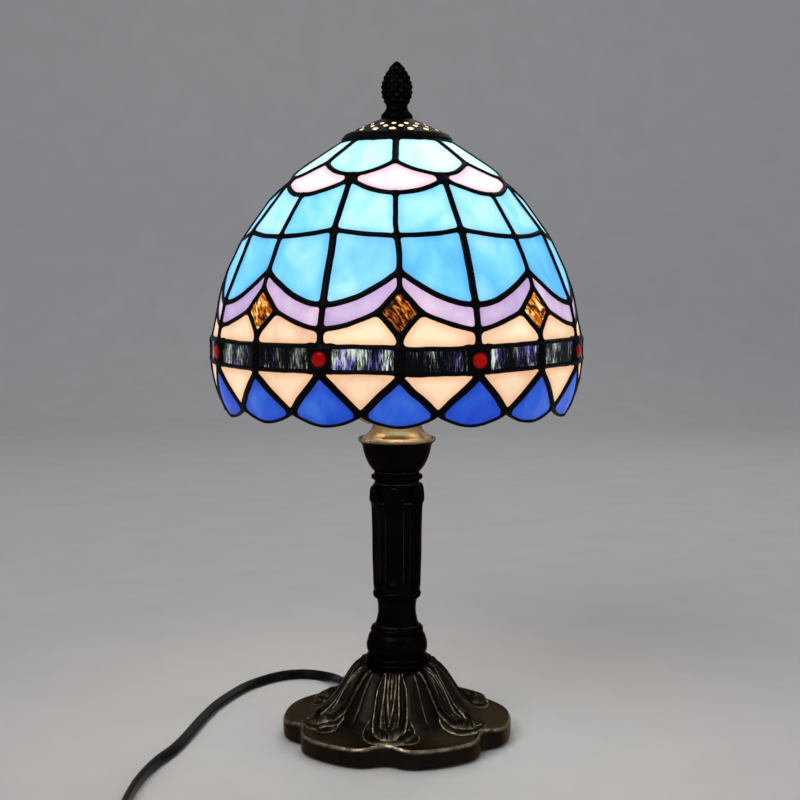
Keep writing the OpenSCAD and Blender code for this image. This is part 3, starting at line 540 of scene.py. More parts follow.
stage_floor()
world = bpy.data.worlds.new("studio")
world.use_nodes = True
background = world.node_tree.nodes["Background"]
background.inputs[0].default_value = (0.55, 0.58, 0.66, 1)
background.inputs[1].default_value = 0.36
bpy.context.scene.world = world
area_light("key", 8, (1.0, 0.97, 0.93), (-700, -1000, 1200), 0.9)
area_light("fill", 2.5, (0.86, 0.92, 1.0), (1100, -700, 800), 1.2)
area_light("back", 3, (1.0, 0.96, 0.9), (300, 1100, 1200), 1.0)
bpy.context.scene.view_settings.view_transform = "Standard"


# ---------------- shade: its surface and seam lines

GLASS_T = 2.6
BAY, HALF_BAY, V_AT = 45.0, 22.5, 11.25
DOME_R, DOME_ARC_R, DOME_ARC_Z = 99.5, 131.5, 205.0
BELT_R, BELT_Z, BELT_HALF = 99.6, 212.4, 6.0
BELT_HI, BELT_LO = BELT_Z + BELT_HALF, BELT_Z - BELT_HALF
SKIRT_R, SKIRT_Z, SKIRT_DRAW = 99.2, 205.3, 0.0105
CROWN_Z, SKY_GEM_Z, SKY_DIAMOND_Z = 321.0, 274.0, 270.7
PETAL_TIP_Z, PETAL_LOW_Z, BLUSH_HIGH_Z, BLUSH_LOW_Z = 308.3, 301.4, 298.6, 291.6
SWAG_HIGH_Z, SWAG_LOW_Z, LAVENDER_LOW_Z = 253.7, 237.8, 226.3
DIAMOND_TOP_Z, DIAMOND_MID_Z, DIAMOND_LOW_Z, DIAMOND_A = 245.6, 234.4, 223.2, 6.2
ZIG_A_Z, ZIG_V_Z, ZIG_R_Z = 204.3, 185.2, 205.5
SCALLOP_LOW_Z, SCALLOP_CUSP_Z = 179.6, 185.2
GEM_A = math.degrees(5.4 / BELT_R)
GEM_R = 3.7
SHADE_TURN = 0.75
# How far the hand-soldered belt leans up or down at some angles round the shade
BELT_LEAN = points("-180 0, -120 -0.5, -70 0.2, -45 -0.3, -4 -0.2, 4 -1.4, 22.5 -0.9, 45 0.7, 70 0.6,"
                   " 120 -0.4, 180 0")


def swag(a):
    return np.sin(np.radians(90 * np.asarray(a, float) / HALF_BAY))


def petal_z(a):
    return PETAL_TIP_Z - (PETAL_TIP_Z - PETAL_LOW_Z) * swag(a)


def blush_z(a):
    return BLUSH_HIGH_Z - (BLUSH_HIGH_Z - BLUSH_LOW_Z) * swag(HALF_BAY - np.asarray(a, float))


def sky_z(a):
    beside = swag(np.maximum(HALF_BAY - np.asarray(a, float), 0)) ** 0.75
    return SKY_GEM_Z - (SKY_GEM_Z - SKY_DIAMOND_Z) * beside


def swag_z(a):
    return SWAG_HIGH_Z - (SWAG_HIGH_Z - SWAG_LOW_Z) * swag(a)


def lavender_z(a):
    a = np.asarray(a, float)
    t = np.clip((a - DIAMOND_A) / (HALF_BAY - DIAMOND_A), 0, 1)
    beside = DIAMOND_TOP_Z + (DIAMOND_MID_Z - DIAMOND_TOP_Z) * np.clip(a / DIAMOND_A, 0, 1)
    return np.where(a < DIAMOND_A, beside, LAVENDER_LOW_Z + (DIAMOND_MID_Z - LAVENDER_LOW_Z) * (1 - t) ** 1.6)


def scallop_z(a):
    b = np.minimum(a, HALF_BAY - np.asarray(a, float))
    return SCALLOP_CUSP_Z - (SCALLOP_CUSP_Z - SCALLOP_LOW_Z) * np.cos(np.radians(90 * b / V_AT)) ** 0.85


def dome_radius(z):
    return DOME_R - DOME_ARC_R + np.sqrt(np.maximum(DOME_ARC_R ** 2 - (z - DOME_ARC_Z) ** 2, 1))


def skirt_radius(z):
    return SKIRT_R - SKIRT_DRAW * np.maximum(SKIRT_Z - z, 0) ** 2


def fold(th):
    return np.abs(th - BAY * np.round(th / BAY))


def turn_at(th, z):
    """Degrees the seams are off their places: the shade is turned, and its upper rows less so."""
    rows, front = [262, 276, 298, 306], ridge(th, 0, 14)
    return (SHADE_TURN + np.interp(z, rows, [0, -0.4, -0.5, -1.3])
            + front * np.interp(z, rows, [0, -0.8, -0.8, -0.4]))


def on_shade(th, z, out=0.0):
    """A point on the shade's outer surface, or out mm off it. Panes are nearly flat, as real ones are."""
    th, z, out = np.broadcast_arrays(np.asarray(th, float), np.asarray(z, float), np.asarray(out, float))
    a = fold(th)
    knots = [np.full(a.shape, CROWN_Z + 1.0), petal_z(a), blush_z(a), sky_z(a), swag_z(a), lavender_z(a),
             np.full(a.shape, BELT_HI - 0.5)]
    zc = np.clip(z, BELT_HI - 0.5, CROWN_Z + 1.0)
    r = dome_radius(zc)
    for hi, lo in zip(knots[:-1], knots[1:]):
        span = np.maximum(hi - lo, 1e-3)
        t = (zc - lo) / span
        inside = (t >= 0) & (t <= 1)
        flat = dome_radius(lo) + (dome_radius(hi) - dome_radius(lo)) * t
        r = np.where(inside, 0.85 * flat + 0.15 * r, r)
    up = smoothstep(BELT_HI - 1.0, BELT_HI + 1.0, z)
    down = smoothstep(BELT_LO + 1.0, BELT_LO - 1.0, z)
    r = BELT_R * (1 - up) * (1 - down) + r * up + skirt_radius(z) * down
    facet = math.cos(math.radians(V_AT)) / np.cos(np.radians(a - V_AT))
    r = r * (1 + (facet - 1) * (0.85 - 0.5 * smoothstep(285, 306, z)))
    slope = np.where(z > BELT_HI, (zc - DOME_ARC_Z) / DOME_ARC_R,
                     -2 * SKIRT_DRAW * np.maximum(SKIRT_Z - z, 0))
    r = r + out * np.sqrt(1 - slope ** 2)
    wrapped = (th + 180) % 360 - 180
    lean = np.interp(wrapped, *zip(*BELT_LEAN)) * smoothstep(190, 199, z) * smoothstep(229, 221, z)
    return polar(th + turn_at(wrapped, z), r, z + lean + out * slope)


def placed(line, out=0.0):
    """The points in space of a line of (angle, height)."""
    return on_shade(line[:, 0], line[:, 1], out)


# Each seam line in half a bay: its points as (angle from the diamond line, height), and half its width
STEP = 1.5


def seam_line(z_of, a0, a1, half):
    rough = np.linspace(a0, a1, 40)
    length = np.linalg.norm(np.diff(on_shade(rough, z_of(rough)), axis=0), axis=1).sum()
    a = np.linspace(a0, a1, max(2, int(round(length / STEP))) + 1)
    return np.column_stack([a, z_of(a)]), half


def upright(a, z0, z1, half):
    z = np.linspace(z0, z1, max(1, int(round((z0 - z1) * 1.15 / STEP))) + 1)
    return np.column_stack([np.full(len(z), a), z]), half


def level(z):
    return lambda a: np.full(np.shape(a), z)


def straight(a0, z0, a1, z1):
    return lambda a: z0 + (z1 - z0) * (np.asarray(a, float) - a0) / (a1 - a0)


GEM_SIDE = HALF_BAY - GEM_A
SEAMS = {
    "crown": seam_line(level(CROWN_Z), 0, HALF_BAY, 0.9),
    "petal": seam_line(petal_z, 0, HALF_BAY, 1.4),
    "blush": seam_line(blush_z, 0, HALF_BAY, 1.45),
    "sky": seam_line(sky_z, 0, HALF_BAY, 1.35),
    "swag": seam_line(swag_z, 0, HALF_BAY, 1.5),
    "frame_hi": seam_line(lavender_z, 0, DIAMOND_A, 1.4),
    "lavender": seam_line(lavender_z, DIAMOND_A, HALF_BAY, 1.25),
    "frame_lo": seam_line(straight(0, DIAMOND_LOW_Z, DIAMOND_A, DIAMOND_MID_Z), 0, DIAMOND_A, 1.4),
    "belt_hi": seam_line(level(BELT_HI), 0, GEM_SIDE, 1.25),
    "belt_hi_gem": seam_line(level(BELT_HI), GEM_SIDE, HALF_BAY, 1.25),
    "belt_lo": seam_line(level(BELT_LO), 0, GEM_SIDE, 1.15),
    "belt_lo_gem": seam_line(level(BELT_LO), GEM_SIDE, HALF_BAY, 1.15),
    "gem_side": upright(GEM_SIDE, BELT_HI, BELT_LO, 0.9),
    "zig_a": seam_line(straight(0, ZIG_A_Z, V_AT, ZIG_V_Z), 0, V_AT, 1.85),
    "zig_r": seam_line(straight(V_AT, ZIG_V_Z, HALF_BAY, ZIG_R_Z), V_AT, HALF_BAY, 1.85),
    "rim_a": seam_line(scallop_z, 0, V_AT, 0.95),
    "rim_r": seam_line(scallop_z, V_AT, HALF_BAY, 0.95),
    "a_petal": upright(0, CROWN_Z, PETAL_TIP_Z, 1.75),
    "a_upper": upright(0, BLUSH_LOW_Z, SKY_DIAMOND_Z, 1.35),
    "a_lower": upright(0, SKY_DIAMOND_Z, SWAG_HIGH_Z, 1.5),
    "a_swag": upright(0, SWAG_HIGH_Z, DIAMOND_TOP_Z, 1.35),
    "a_cream": upright(0, DIAMOND_LOW_Z, BELT_HI, 1.5),
    "a_belt": upright(0, BELT_HI, BELT_LO, 2.9),
    "a_tip": upright(0, BELT_LO, ZIG_A_Z, 1.1),
    "r_blush": upright(HALF_BAY, PETAL_LOW_Z, BLUSH_HIGH_Z, 3.6),
    "r_upper": upright(HALF_BAY, BLUSH_HIGH_Z, SKY_GEM_Z, 1.6),
    "r_lower": upright(HALF_BAY, SKY_GEM_Z, SWAG_LOW_Z, 2.0),
    "r_lavender": upright(HALF_BAY, SWAG_LOW_Z, LAVENDER_LOW_Z, 1.75),
    "r_cream": upright(HALF_BAY, LAVENDER_LOW_Z, BELT_HI, 1.75),
    "r_tip": upright(HALF_BAY, BELT_LO, ZIG_R_Z, 1.1),
    "v_tip": upright(V_AT, ZIG_V_Z + 1.0, SCALLOP_CUSP_Z - 1.5, 3.7),
}
RIM_SEAMS = ("crown", "rim_a", "rim_r")

# Each pane: its glass, what it is centred on, how rounded its corners are, a spine inside it, and the seams
# round it in order. A seam has + for the right half or - for the left half of a centred pane, ~ if backwards,
# and * if it only widens the solder there.
PANES = [
    ("petal_glass", "gem", 1.9, [(22.5, 311)],
     "-crown +~crown +a_petal +petal -~petal -~a_petal"),
    ("blush_glass", "diamond", 1.6, [(-11, 299.5), (0, 299.5), (11, 299.5)],
     "-~petal +petal +r_blush +~blush -blush -~r_blush"),
    ("upper_sky_glass", "bay", 1.5, [(11, 284)], "blush r_upper ~sky ~a_upper"),
    ("lower_sky_glass", "bay", 1.5, [(11, 260), (14, 257)], "sky r_lower ~swag ~a_lower"),
    ("lavender_glass", "bay", 1.4,
     [(2.6, 246.2), (5, 243.5), (7.5, 241), (10.5, 238.6), (14, 236), (17.5, 234.2), (20, 233.3)],
     "swag r_lavender ~lavender ~frame_hi ~a_swag"),
    ("amber_diamonds", "diamond", 0.9, [(0, 234.6)], "+frame_hi +~frame_lo -frame_lo -~frame_hi"),
    ("cream_glass", "bay", 2.6, [(5.2, 223.5), (8, 224.5), (12, 223.6), (19.5, 222.2)],
     "lavender r_cream ~belt_hi_gem ~belt_hi ~a_cream frame_lo"),
    ("belt_glass", "bay", 0.5, [(5.5, BELT_Z), (16.5, BELT_Z)], "belt_hi gem_side ~belt_lo ~a_belt"),
    ("ruby_gems", "gem", 0, [(22.5, BELT_Z)],
     "-belt_hi_gem +~belt_hi_gem +gem_side +belt_lo_gem -~belt_lo_gem -~gem_side"),
    ("cream_triangles", "bay", 0.9, [(11.25, 199.5)], "belt_lo belt_lo_gem r_tip ~zig_r ~zig_a ~a_tip"),
    ("cobalt_scallops", "diamond", 0.5, [(0, 190)], "+zig_a +*v_tip +~rim_a -rim_a -*v_tip -~zig_a"),
    ("cobalt_scallops", "gem", 0.5, [(22.5, 190)], "-zig_r +~zig_r +*v_tip +rim_r -~rim_r -*v_tip"),
]


def place_seam(name, centre, side, bay):
    """A seam's points as (angle round the shade, height) for that bay."""
    pts, half = SEAMS[name]
    off = HALF_BAY + side * (HALF_BAY - pts[:, 0]) if centre == "gem" else side * pts[:, 0]
    return np.column_stack([bay * BAY + off, pts[:, 1]]), half


def wobble(p):
    """Small unevenness of the seams, the same for both panes that share one."""
    return np.column_stack([wave(p, 9, 3.1), wave(p, 9, 8.7)]) * 0.22


def settle(line):
    """Moves seam points by a small wobble. Points are (angle, height)."""
    w = wobble(placed(line))
    return line + np.column_stack([np.degrees(w[:, 0] / 80), w[:, 1]])


def distance(p, line):
    """Distance from each point to a line of points in space."""
    a, b = line[:-1], line[1:]
    ab = b - a
    t = np.clip(((p[:, None] - a) * ab).sum(-1) / np.maximum((ab * ab).sum(-1), 1e-9), 0, 1)
    return np.linalg.norm(p[:, None] - (a + t[..., None] * ab), axis=-1).min(1)


def smooth_min(parts, k):
    total = parts[0]
    for other in parts[1:]:
        h = np.maximum(k - np.abs(total - other), 0) / max(k, 1e-6)
        total = np.minimum(total, other) - h * h * k / 4
    return total


def nearest_on(spine, pts, scale):
    """The nearest point of the spine to each point, in (angle, height)."""
    if len(spine) == 1:
        return np.repeat(spine, len(pts), 0)
    s, p = spine * scale, pts * scale
    best, found = None, None
    for a, b in zip(s[:-1], s[1:]):
        ab = b - a
        t = np.clip(((p - a) @ ab) / (ab @ ab), 0, 1)[:, None]
        q = a + t * ab
        d = np.linalg.norm(p - q, axis=1)
        found = q if best is None else np.where((d < best)[:, None], q, found)
        best = d if best is None else np.minimum(best, d)
    return found / scale


def build_pane(glass, centre, corner_k, spine, path, bay, side):
    """One pane: the seam line round it, the glass edge, and a function for the distance inside the glass."""
    ring, walls, rims = [], [], []
    for word in path.split():
        half_side = {"+": 1, "-": -1}.get(word[0], side)
        name = word.lstrip("+-~*")
        line, half = place_seam(name, centre, half_side, bay)
        line = settle(line)
        walls.append((placed(line), half))
        if "*" in word:
            continue
        line = line[::-1] if "~" in word else line
        ring += [tuple(p) for p in line[:-1]]
        rims += [name in RIM_SEAMS] * (len(line) - 1)
    ring, rims = np.array(ring), np.array(rims)
    base = bay * BAY
    spine = np.array([(base + side * a if centre == "bay" else base + a, z) for a, z in spine])

    def inside(at, ragged=True):
        p = placed(at)
        f = smooth_min([distance(p, line) - half for line, half in walls], corner_k)
        return f - 0.13 * wave(p, 4.5, 1.3) if ragged else f

    hub = nearest_on(spine, ring, np.array([1.4, 1.0]))
    if glass == "ruby_gems":
        t = 1 - GEM_R / np.linalg.norm(placed(ring) - placed(spine), axis=1)
    else:
        lo, hi = np.zeros(len(ring)), np.ones(len(ring))
        for _ in range(13):
            t = (lo + hi) / 2
            ok = inside(ring + (hub - ring) * t[:, None]) > 0
            hi, lo = np.where(ok, t, hi), np.where(ok, lo, t)
        t = hi
    edge = ring + (hub - ring) * t[:, None]
    return ring, edge, hub, rims, inside


# ---------------- shade: solder and glass

# Rows of the bead over a seam, as how far they are from the seam line (0) to the glass (1)
FRONT_ROWS, BACK_ROWS = (0.0, 0.35, 0.65, 0.87, 1.0), (1.0, 0.8, 0.45, 0.0)
RIM_TURNS = (0, 22, 45, 67.5, 90, 112.5, 135, 158, 180)
BEZEL, BACK_BEAD, RIM_BEAD = 0.75, 0.75, 0.85
TUCK, GLASS_GRID = 0.25, 3.2


def bead_height(p):
    """How far the solder stands out of the glass, more along the two belt cames."""
    came = ridge(p[:, 2], BELT_HI, 1.7) + ridge(p[:, 2], BELT_LO, 1.7)
    return (0.85 + 0.35 * came) * (1 + 0.16 * wave(p, 5.5, 5.2))


def bead_grain(p):
    return 0.07 * wave(p, 2.2, 9.4)


web_verts, web_faces, glass_parts = [], [], {}


def add_web(rows):
    base = sum(map(len, web_verts))
    web_verts.append(np.vstack(rows))
    web_faces.extend(grid_faces(len(rows), len(rows[0]), wrap_cols=True, base=base))


def rim_band(ring, hub, rims, h_out, h_in):
    """Rolls the bead round the open edge of the shade, from its front to its back."""
    base, n = sum(map(len, web_verts)), len(ring)
    on = [i for i in range(n) if rims[i]]
    p = placed(ring)
    ahead = np.roll(p, -1, 0) - np.roll(p, 1, 0)
    away = unit(np.cross(ahead, unit(placed(ring, 1.0) - p)))
    toward_hub = placed(hub) - p
    away *= -np.sign((away * toward_hub).sum(1))[:, None]
    for end in (on[0], (on[-1] + 1) % n):
        rise = unit(on_shade(ring[end, 0], ring[end, 1] + 1) - p[end])
        away[end] = -np.sign(rise @ toward_hub[end]) * rise
    mid, half = (h_out - GLASS_T - h_in) / 2, (h_out + GLASS_T + h_in) / 2
    for turn in RIM_TURNS:
        c, s = math.cos(math.radians(turn)), math.sin(math.radians(turn))
        web_verts.append(placed(ring, mid + half * c) + away * (RIM_BEAD * s))
    for i in on:
        j = (i + 1) % n
        for k in range(base, base + (len(RIM_TURNS) - 1) * n, n):
            web_faces.append((k + i, k + j, k + n + j, k + n + i))


def inside_polygon(pts, poly):
    x, y = pts[:, 0][:, None], pts[:, 1][:, None]
    x0, y0 = poly[:, 0], poly[:, 1]
    x1, y1 = np.roll(x0, -1), np.roll(y0, -1)
    cross = ((y0 > y) != (y1 > y)) & (x < (x1 - x0) * (y - y0) / np.where(y1 == y0, 1e-9, y1 - y0) + x0)
    return cross.sum(1) % 2 == 1


def add_part(glass, verts, faces, flow, rim):
    part = glass_parts.setdefault(glass, {"verts": [], "faces": [], "flow": [], "rim": []})
    base = sum(map(len, part["verts"]))
    part["faces"] += [tuple(base + k for k in face) for face in faces]
    for key, rows in (("verts", verts), ("flow", flow), ("rim", rim)):
        part[key].append(rows)


def toward(edge, goal, reach, least, most):
    """Moves edge points by reach mm toward the goal, by no more than a share of the way."""
    gap = np.linalg.norm(placed(goal) - placed(edge), axis=1)
    return edge + (goal - edge) * np.clip(reach / np.maximum(gap, least), 0, most)[:, None]


def add_glass(glass, ring, edge, hub, inside, number):
    """Front, back and edge of a pane, with its edge tucked under the solder."""
    outline = toward(edge, ring, TUCK, 0.05, 0.6)
    mean = outline.mean(0)
    r_mid = float(np.linalg.norm(on_shade(*mean)[:2]))
    to_flat = np.array([math.radians(1) * r_mid, 1.3])
    flat = (outline - mean) * to_flat
    lo, hi = flat.min(0), flat.max(0)
    gx, gy = np.meshgrid(np.arange(lo[0] + 1, hi[0], GLASS_GRID), np.arange(lo[1] + 1, hi[1], GLASS_GRID))
    gx = gx + (np.arange(gx.shape[0]) % 2)[:, None] * GLASS_GRID / 2
    pts = np.column_stack([gx.ravel(), gy.ravel()])
    pts = pts[inside_polygon(pts, flat)] if len(pts) else pts
    if len(pts):
        pts = pts[inside(pts / to_flat + mean, False) > 1.9]
    near = ((toward(edge, hub, 1.1, 2.6, 1) - mean) * to_flat)[::2]
    every = np.vstack([flat, near[inside_polygon(near, flat)], pts])
    n = len(flat)
    found, _, tris, orig, _, _ = delaunay_2d_cdt([Vector(p) for p in every], [], [list(range(n))], 1, 1e-5)
    az = np.array([tuple(v) for v in found]) / to_flat + mean
    index = {o: k for k, group in enumerate(orig) for o in group}
    rim_ids = [index[i] for i in range(n)]
    rim_ids = [e for k, e in enumerate(rim_ids) if e != rim_ids[k - 1]]
    m = len(az)
    faces = [tuple(f) for f in tris] + [tuple(m + k for k in f[::-1]) for f in tris]
    faces += [(a, b, m + b, m + a) for a, b in zip(rim_ids, rim_ids[1:] + rim_ids[:1])]
    flow = np.column_stack([(az[:, 0] - mean[0]) * math.radians(1) * r_mid + 500, az[:, 1],
                            np.full(m, number * 7.31 + 3)])
    rim = np.clip(np.maximum(inside(az, False), 0) / 5, 0, 1)
    verts = np.vstack([placed(az), placed(az, -GLASS_T)])
    add_part(glass, verts, faces, np.tile(flow, (2, 1)), np.tile(rim, 2))


# Rows of a gem from its back: radius, height over the glass, and how far from its rim
GEM_ROWS = [(GEM_R + 0.2, -GLASS_T, 0), (GEM_R + 0.2, -0.2, 0), (GEM_R + 0.12, 0.2, 0.1), (3.4, 0.62, 0.4),
            (2.8, 0.9, 0.7), (1.9, 1.15, 0.9), (0.9, 1.28, 1)]


def add_gem(hub, number, count=28):
    """A round cabochon that stands out of its bezel."""
    c = on_shade(hub[0, 0], hub[0, 1])
    out = unit(on_shade(hub[0, 0], hub[0, 1], 1.0) - c)
    side = unit(np.cross((0, 0, 1), out))
    up = np.cross(out, side)
    a = np.arange(count) * 2 * math.pi / count
    v = np.vstack([c + out * h + r * (np.cos(a)[:, None] * side + np.sin(a)[:, None] * up)
                   for r, h, _ in GEM_ROWS])
    faces = grid_faces(len(GEM_ROWS), count, wrap_cols=True)
    faces += [list(range(count))[::-1], [(len(GEM_ROWS) - 1) * count + k for k in range(count)]]
    flow = np.column_stack([(v - c) @ side + 500, v[:, 2], np.full(len(v), number * 7.31)])
    add_part("ruby_gems", v, faces, flow, np.repeat([share for _, _, share in GEM_ROWS], count))


def build_seams_and_glass():
    number = 0
    for glass, centre, corner_k, spine, path in PANES:
        for bay in range(8):
            for side in ((1, -1) if centre == "bay" else (1,)):
                number += 1
                ring, edge, hub, rims, inside = build_pane(glass, centre, corner_k, spine, path, bay, side)
                h_out = bead_height(placed(ring))
                h_in = h_out * BACK_BEAD
                rows = []
                for t in FRONT_ROWS:
                    q = ring + (edge - ring) * t
                    bump = bead_grain(placed(q)) * (1 - t)
                    if glass == "ruby_gems":
                        bump = bump + BEZEL * ridge(t, 0.78, 0.22) * min(t * 4, 1)
                    rows.append(placed(q, h_out * math.sqrt(1 - t * t) + bump))
                for t in BACK_ROWS:
                    rows.append(placed(ring + (edge - ring) * t, -GLASS_T - h_in * math.sqrt(1 - t * t)))
                add_web(rows)
                if rims.any():
                    rim_band(ring, hub, rims, h_out + bead_grain(placed(ring)), h_in)
                if glass == "ruby_gems":
                    add_gem(hub, number)
                else:
                    add_glass(glass, ring, edge, hub, inside, number)


build_seams_and_glass()
web = make("solder_web", np.vstack(web_verts), web_faces, SOLDER, "shade",
           ("crown_ring", "arc_seams", "rib_seams", "diamond_frames", "belt_cames", "gem_bezels",
            "zigzag_seam", "scallop_edge"), weld=0.02)
wear_and_highlight_of(web, 0.25, 0.9)

# Colours of the glass: each is a density of the swirl, then red, green and blue there.
# The petal and upper sky glass are paler than the rows below: painted light of the bulb close under them.
GLASSES = {
    "petal_glass": lit_glass("petal_opal", "0.36 0.76 0.965 0.945, 0.54 0.60 0.93 0.95, 0.72 0.40 0.82 0.95",
        soft=0.5, edge=(0.66, 0.90, 1.0)),
    "blush_glass": lit_glass("blush_opal", "0.36 0.92 0.90 0.93, 0.56 0.88 0.82 0.92, 0.76 0.86 0.66 0.78",
        soft=0.6, edge=(0.94, 0.66, 0.70)),
    "upper_sky_glass": lit_glass(
        "pale_sky_opal", "0.32 0.52 0.90 0.97, 0.5 0.37 0.82 0.96, 0.66 0.21 0.70 0.94, 0.8 0.15 0.58 0.90",
        soft=0.75, pane_shift=0.24, edge=(0.66, 0.82, 0.97)),
    "lower_sky_glass": lit_glass(
        "sky_opal", "0.30 0.36 0.77 0.96, 0.47 0.205 0.655 0.94, 0.62 0.14 0.56 0.91, 0.8 0.10 0.44 0.86",
        soft=0.75, pane_shift=0.2, edge=(0.74, 0.80, 0.97)),
    "lavender_glass": lit_glass(
        "lavender_opal",
        "0.30 0.77 0.63 0.76, 0.50 0.58 0.46 0.67, 0.64 0.48 0.375 0.64, 0.76 0.66 0.42 0.59",
        soft=0.7, pane_shift=0.24, edge=(0.92, 0.76, 0.86)),
    "cream_glass": lit_glass("cream_opal", "0.34 0.95 0.77 0.52, 0.56 0.88 0.66 0.44, 0.76 0.80 0.53 0.38",
        soft=0.75, edge=(0.92, 0.70, 0.62)),
    "cream_triangles": lit_glass(
        "cream_opal_low", "0.34 0.91 0.69 0.46, 0.58 0.84 0.61 0.40, 0.78 0.78 0.49 0.32",
        soft=0.75, edge=(0.92, 0.70, 0.62)),
    "cobalt_scallops": lit_glass(
        "cobalt_opal", "0.3 0.040 0.145 0.62, 0.52 0.014 0.085 0.56, 0.75 0.004 0.045 0.50",
        soft=0.6, body=0.22, edge=(0.8, 0.66, 0.80)),
    "amber_diamonds": lit_glass(
        "amber_swirl",
        "0.355 0.98 0.72 0.28, 0.395 0.82 0.30 0.012, 0.45 0.52 0.12 0.003, 0.51 0.13 0.022 0.002,"
        " 0.55 0.012 0.003 0.001",
        streak=(0.34, 0.13, 1), swirl=1.3, detail=4, slant=-0.85, body=0.1),
    "belt_glass": belt_glass(),
    "ruby_gems": lit_glass("ruby", "0.3 0.38 0.002 0.001, 0.8 0.17 0.0005 0.0005",
        scale=1.6, streak=(0.5, 0.5, 1), body=0.06, coat=0.0, gloss=0.12, edge=(0.35, 0.3, 0.3)),
}
for glass, part in glass_parts.items():
    make(glass + "_lit", np.vstack(part["verts"]), part["faces"], GLASSES[glass], "shade", (glass,),
         attrs={"flow": np.vstack(part["flow"]), "rim": np.concatenate(part["rim"])},
         keep_angle=40)


# ---------------- stand: the cast foot

FELT_T, RECESS_R, PIPE_R = 1.2, 50.1, 5.05
FOOT_IN, LEAF_IN, LEAF_OUT = 16.0, 17.5, 48.8
FOOT_LINE = points("""
    5 38.9, 16.5 38.9, 18.5 38.5, 21.5 37.1, 25 34.2, 28.5 29.8, 31.5 25.0, 34.5 20.3, 38 16.4, 42 13.8,
    46 12.2, 50 11.2, 55 10.5, 60 10.3, 64 10.3""")
# Half the width of a leaf along its length, from the stem (0) to its tip (1)
LEAF_WIDTH = points("""
    0 3.4, 0.12 4.3, 0.28 6.3, 0.45 7.3, 0.6 7.7, 0.74 7.5, 0.85 6.5, 0.93 4.6, 0.98 2.3, 1 0.3""")


def leaf_half(s):
    return np.interp(np.clip(s, 0, 1), *zip(*LEAF_WIDTH))


def foot_top(th, r):
    """Height of the foot's upper surface: dome, rim, pads round the leaf tips, and the leaves."""
    edge, off = foot_radius(th), from_notch(th)
    x = r * np.sin(np.radians(off))
    ax = np.abs(x)
    z = np.interp(r, *zip(*FOOT_LINE))
    z = z + 1.5 * ridge(off, 0, 9) * smoothstep(48, 57, r)
    # Rounded rim along the outline
    inward = edge - r
    z = z + 0.75 * ridge(inward, 1.3, 0.9) - 1.2 * smoothstep(0.9, 0.0, inward)
    # The soft petals between the leaves, on the dome
    between = np.abs(np.abs(off) - LOBE / 2) * np.radians(1) * r
    on_dome = smoothstep(18, 22, r) * smoothstep(46, 34, r)
    petal_w = 4.4 + 3.2 * smoothstep(22, 40, r)
    z = z + on_dome * (2.0 * hump(between / petal_w) ** 0.8
                       + 0.45 * ridge(between, petal_w, 0.6) - 0.55 * ridge(between, 0, 0.7))
    # A round dished pad under each leaf's tip, with a thin raised lip
    pad = np.hypot(x / 13.0, (r - 43.5) / 10.8)
    under = smoothstep(35, 40, r)
    z = z + under * (1.3 * smoothstep(1.04, 0.95, pad) + 0.55 * ridge(pad, 0.93, 0.045)
                     - 0.7 * smoothstep(0.9, 0.6, pad))
    # A rounded knob beside the tip
    knob = np.hypot((x - 10.5) / 5.6, (r - 47.0) / 5.0)
    z = z + 1.8 * hump(knob) ** 0.7
    # The leaf: a raised tongue with a bold edge and nested loops inside
    s = (r - LEAF_IN) / (LEAF_OUT - LEAF_IN)
    w = leaf_half(s)
    lean = np.sqrt(1 + ((leaf_half(s + 0.01) - leaf_half(s - 0.01)) / (0.02 * (LEAF_OUT - LEAF_IN))) ** 2)
    here = smoothstep(0.0, 0.03, s) * smoothstep(1.02, 0.99, s)
    body = smoothstep(w + 0.5 * lean, w - 0.25 * lean, ax) * here
    z = z + body * (1.2 + 1.6 * np.sin(np.pi * np.clip(s, 0, 1)) ** 0.8 + 1.9 * smoothstep(0.72, 0.98, s))
    z = z + here * 1.4 * ridge(ax, np.maximum(w - 1.0 * lean, 0), 0.72 * lean)
    z = z - here * 0.8 * ridge(ax, w + 1.2, 0.75) * smoothstep(0.95, 0.8, s)
    z = z - body * 1.5 * smoothstep(w - 1.7 * lean, w - 3.0 * lean, ax)
    for reach, wide, high, thick in ((0.84, 3.5, 1.4, 0.5), (0.5, 1.35, 1.0, 0.42)):
        t = np.clip(s / reach, 0, 1)
        inner = wide * (0.62 + 0.38 * np.sin(np.pi * t)) * (1 - t ** 2.2)
        loop = high * ridge(ax, inner, thick * (1 + 0.8 * t ** 3))
        z = z + body * loop * smoothstep(reach + 0.03, reach - 0.02, s) * smoothstep(0.0, 0.1, s)
    return z


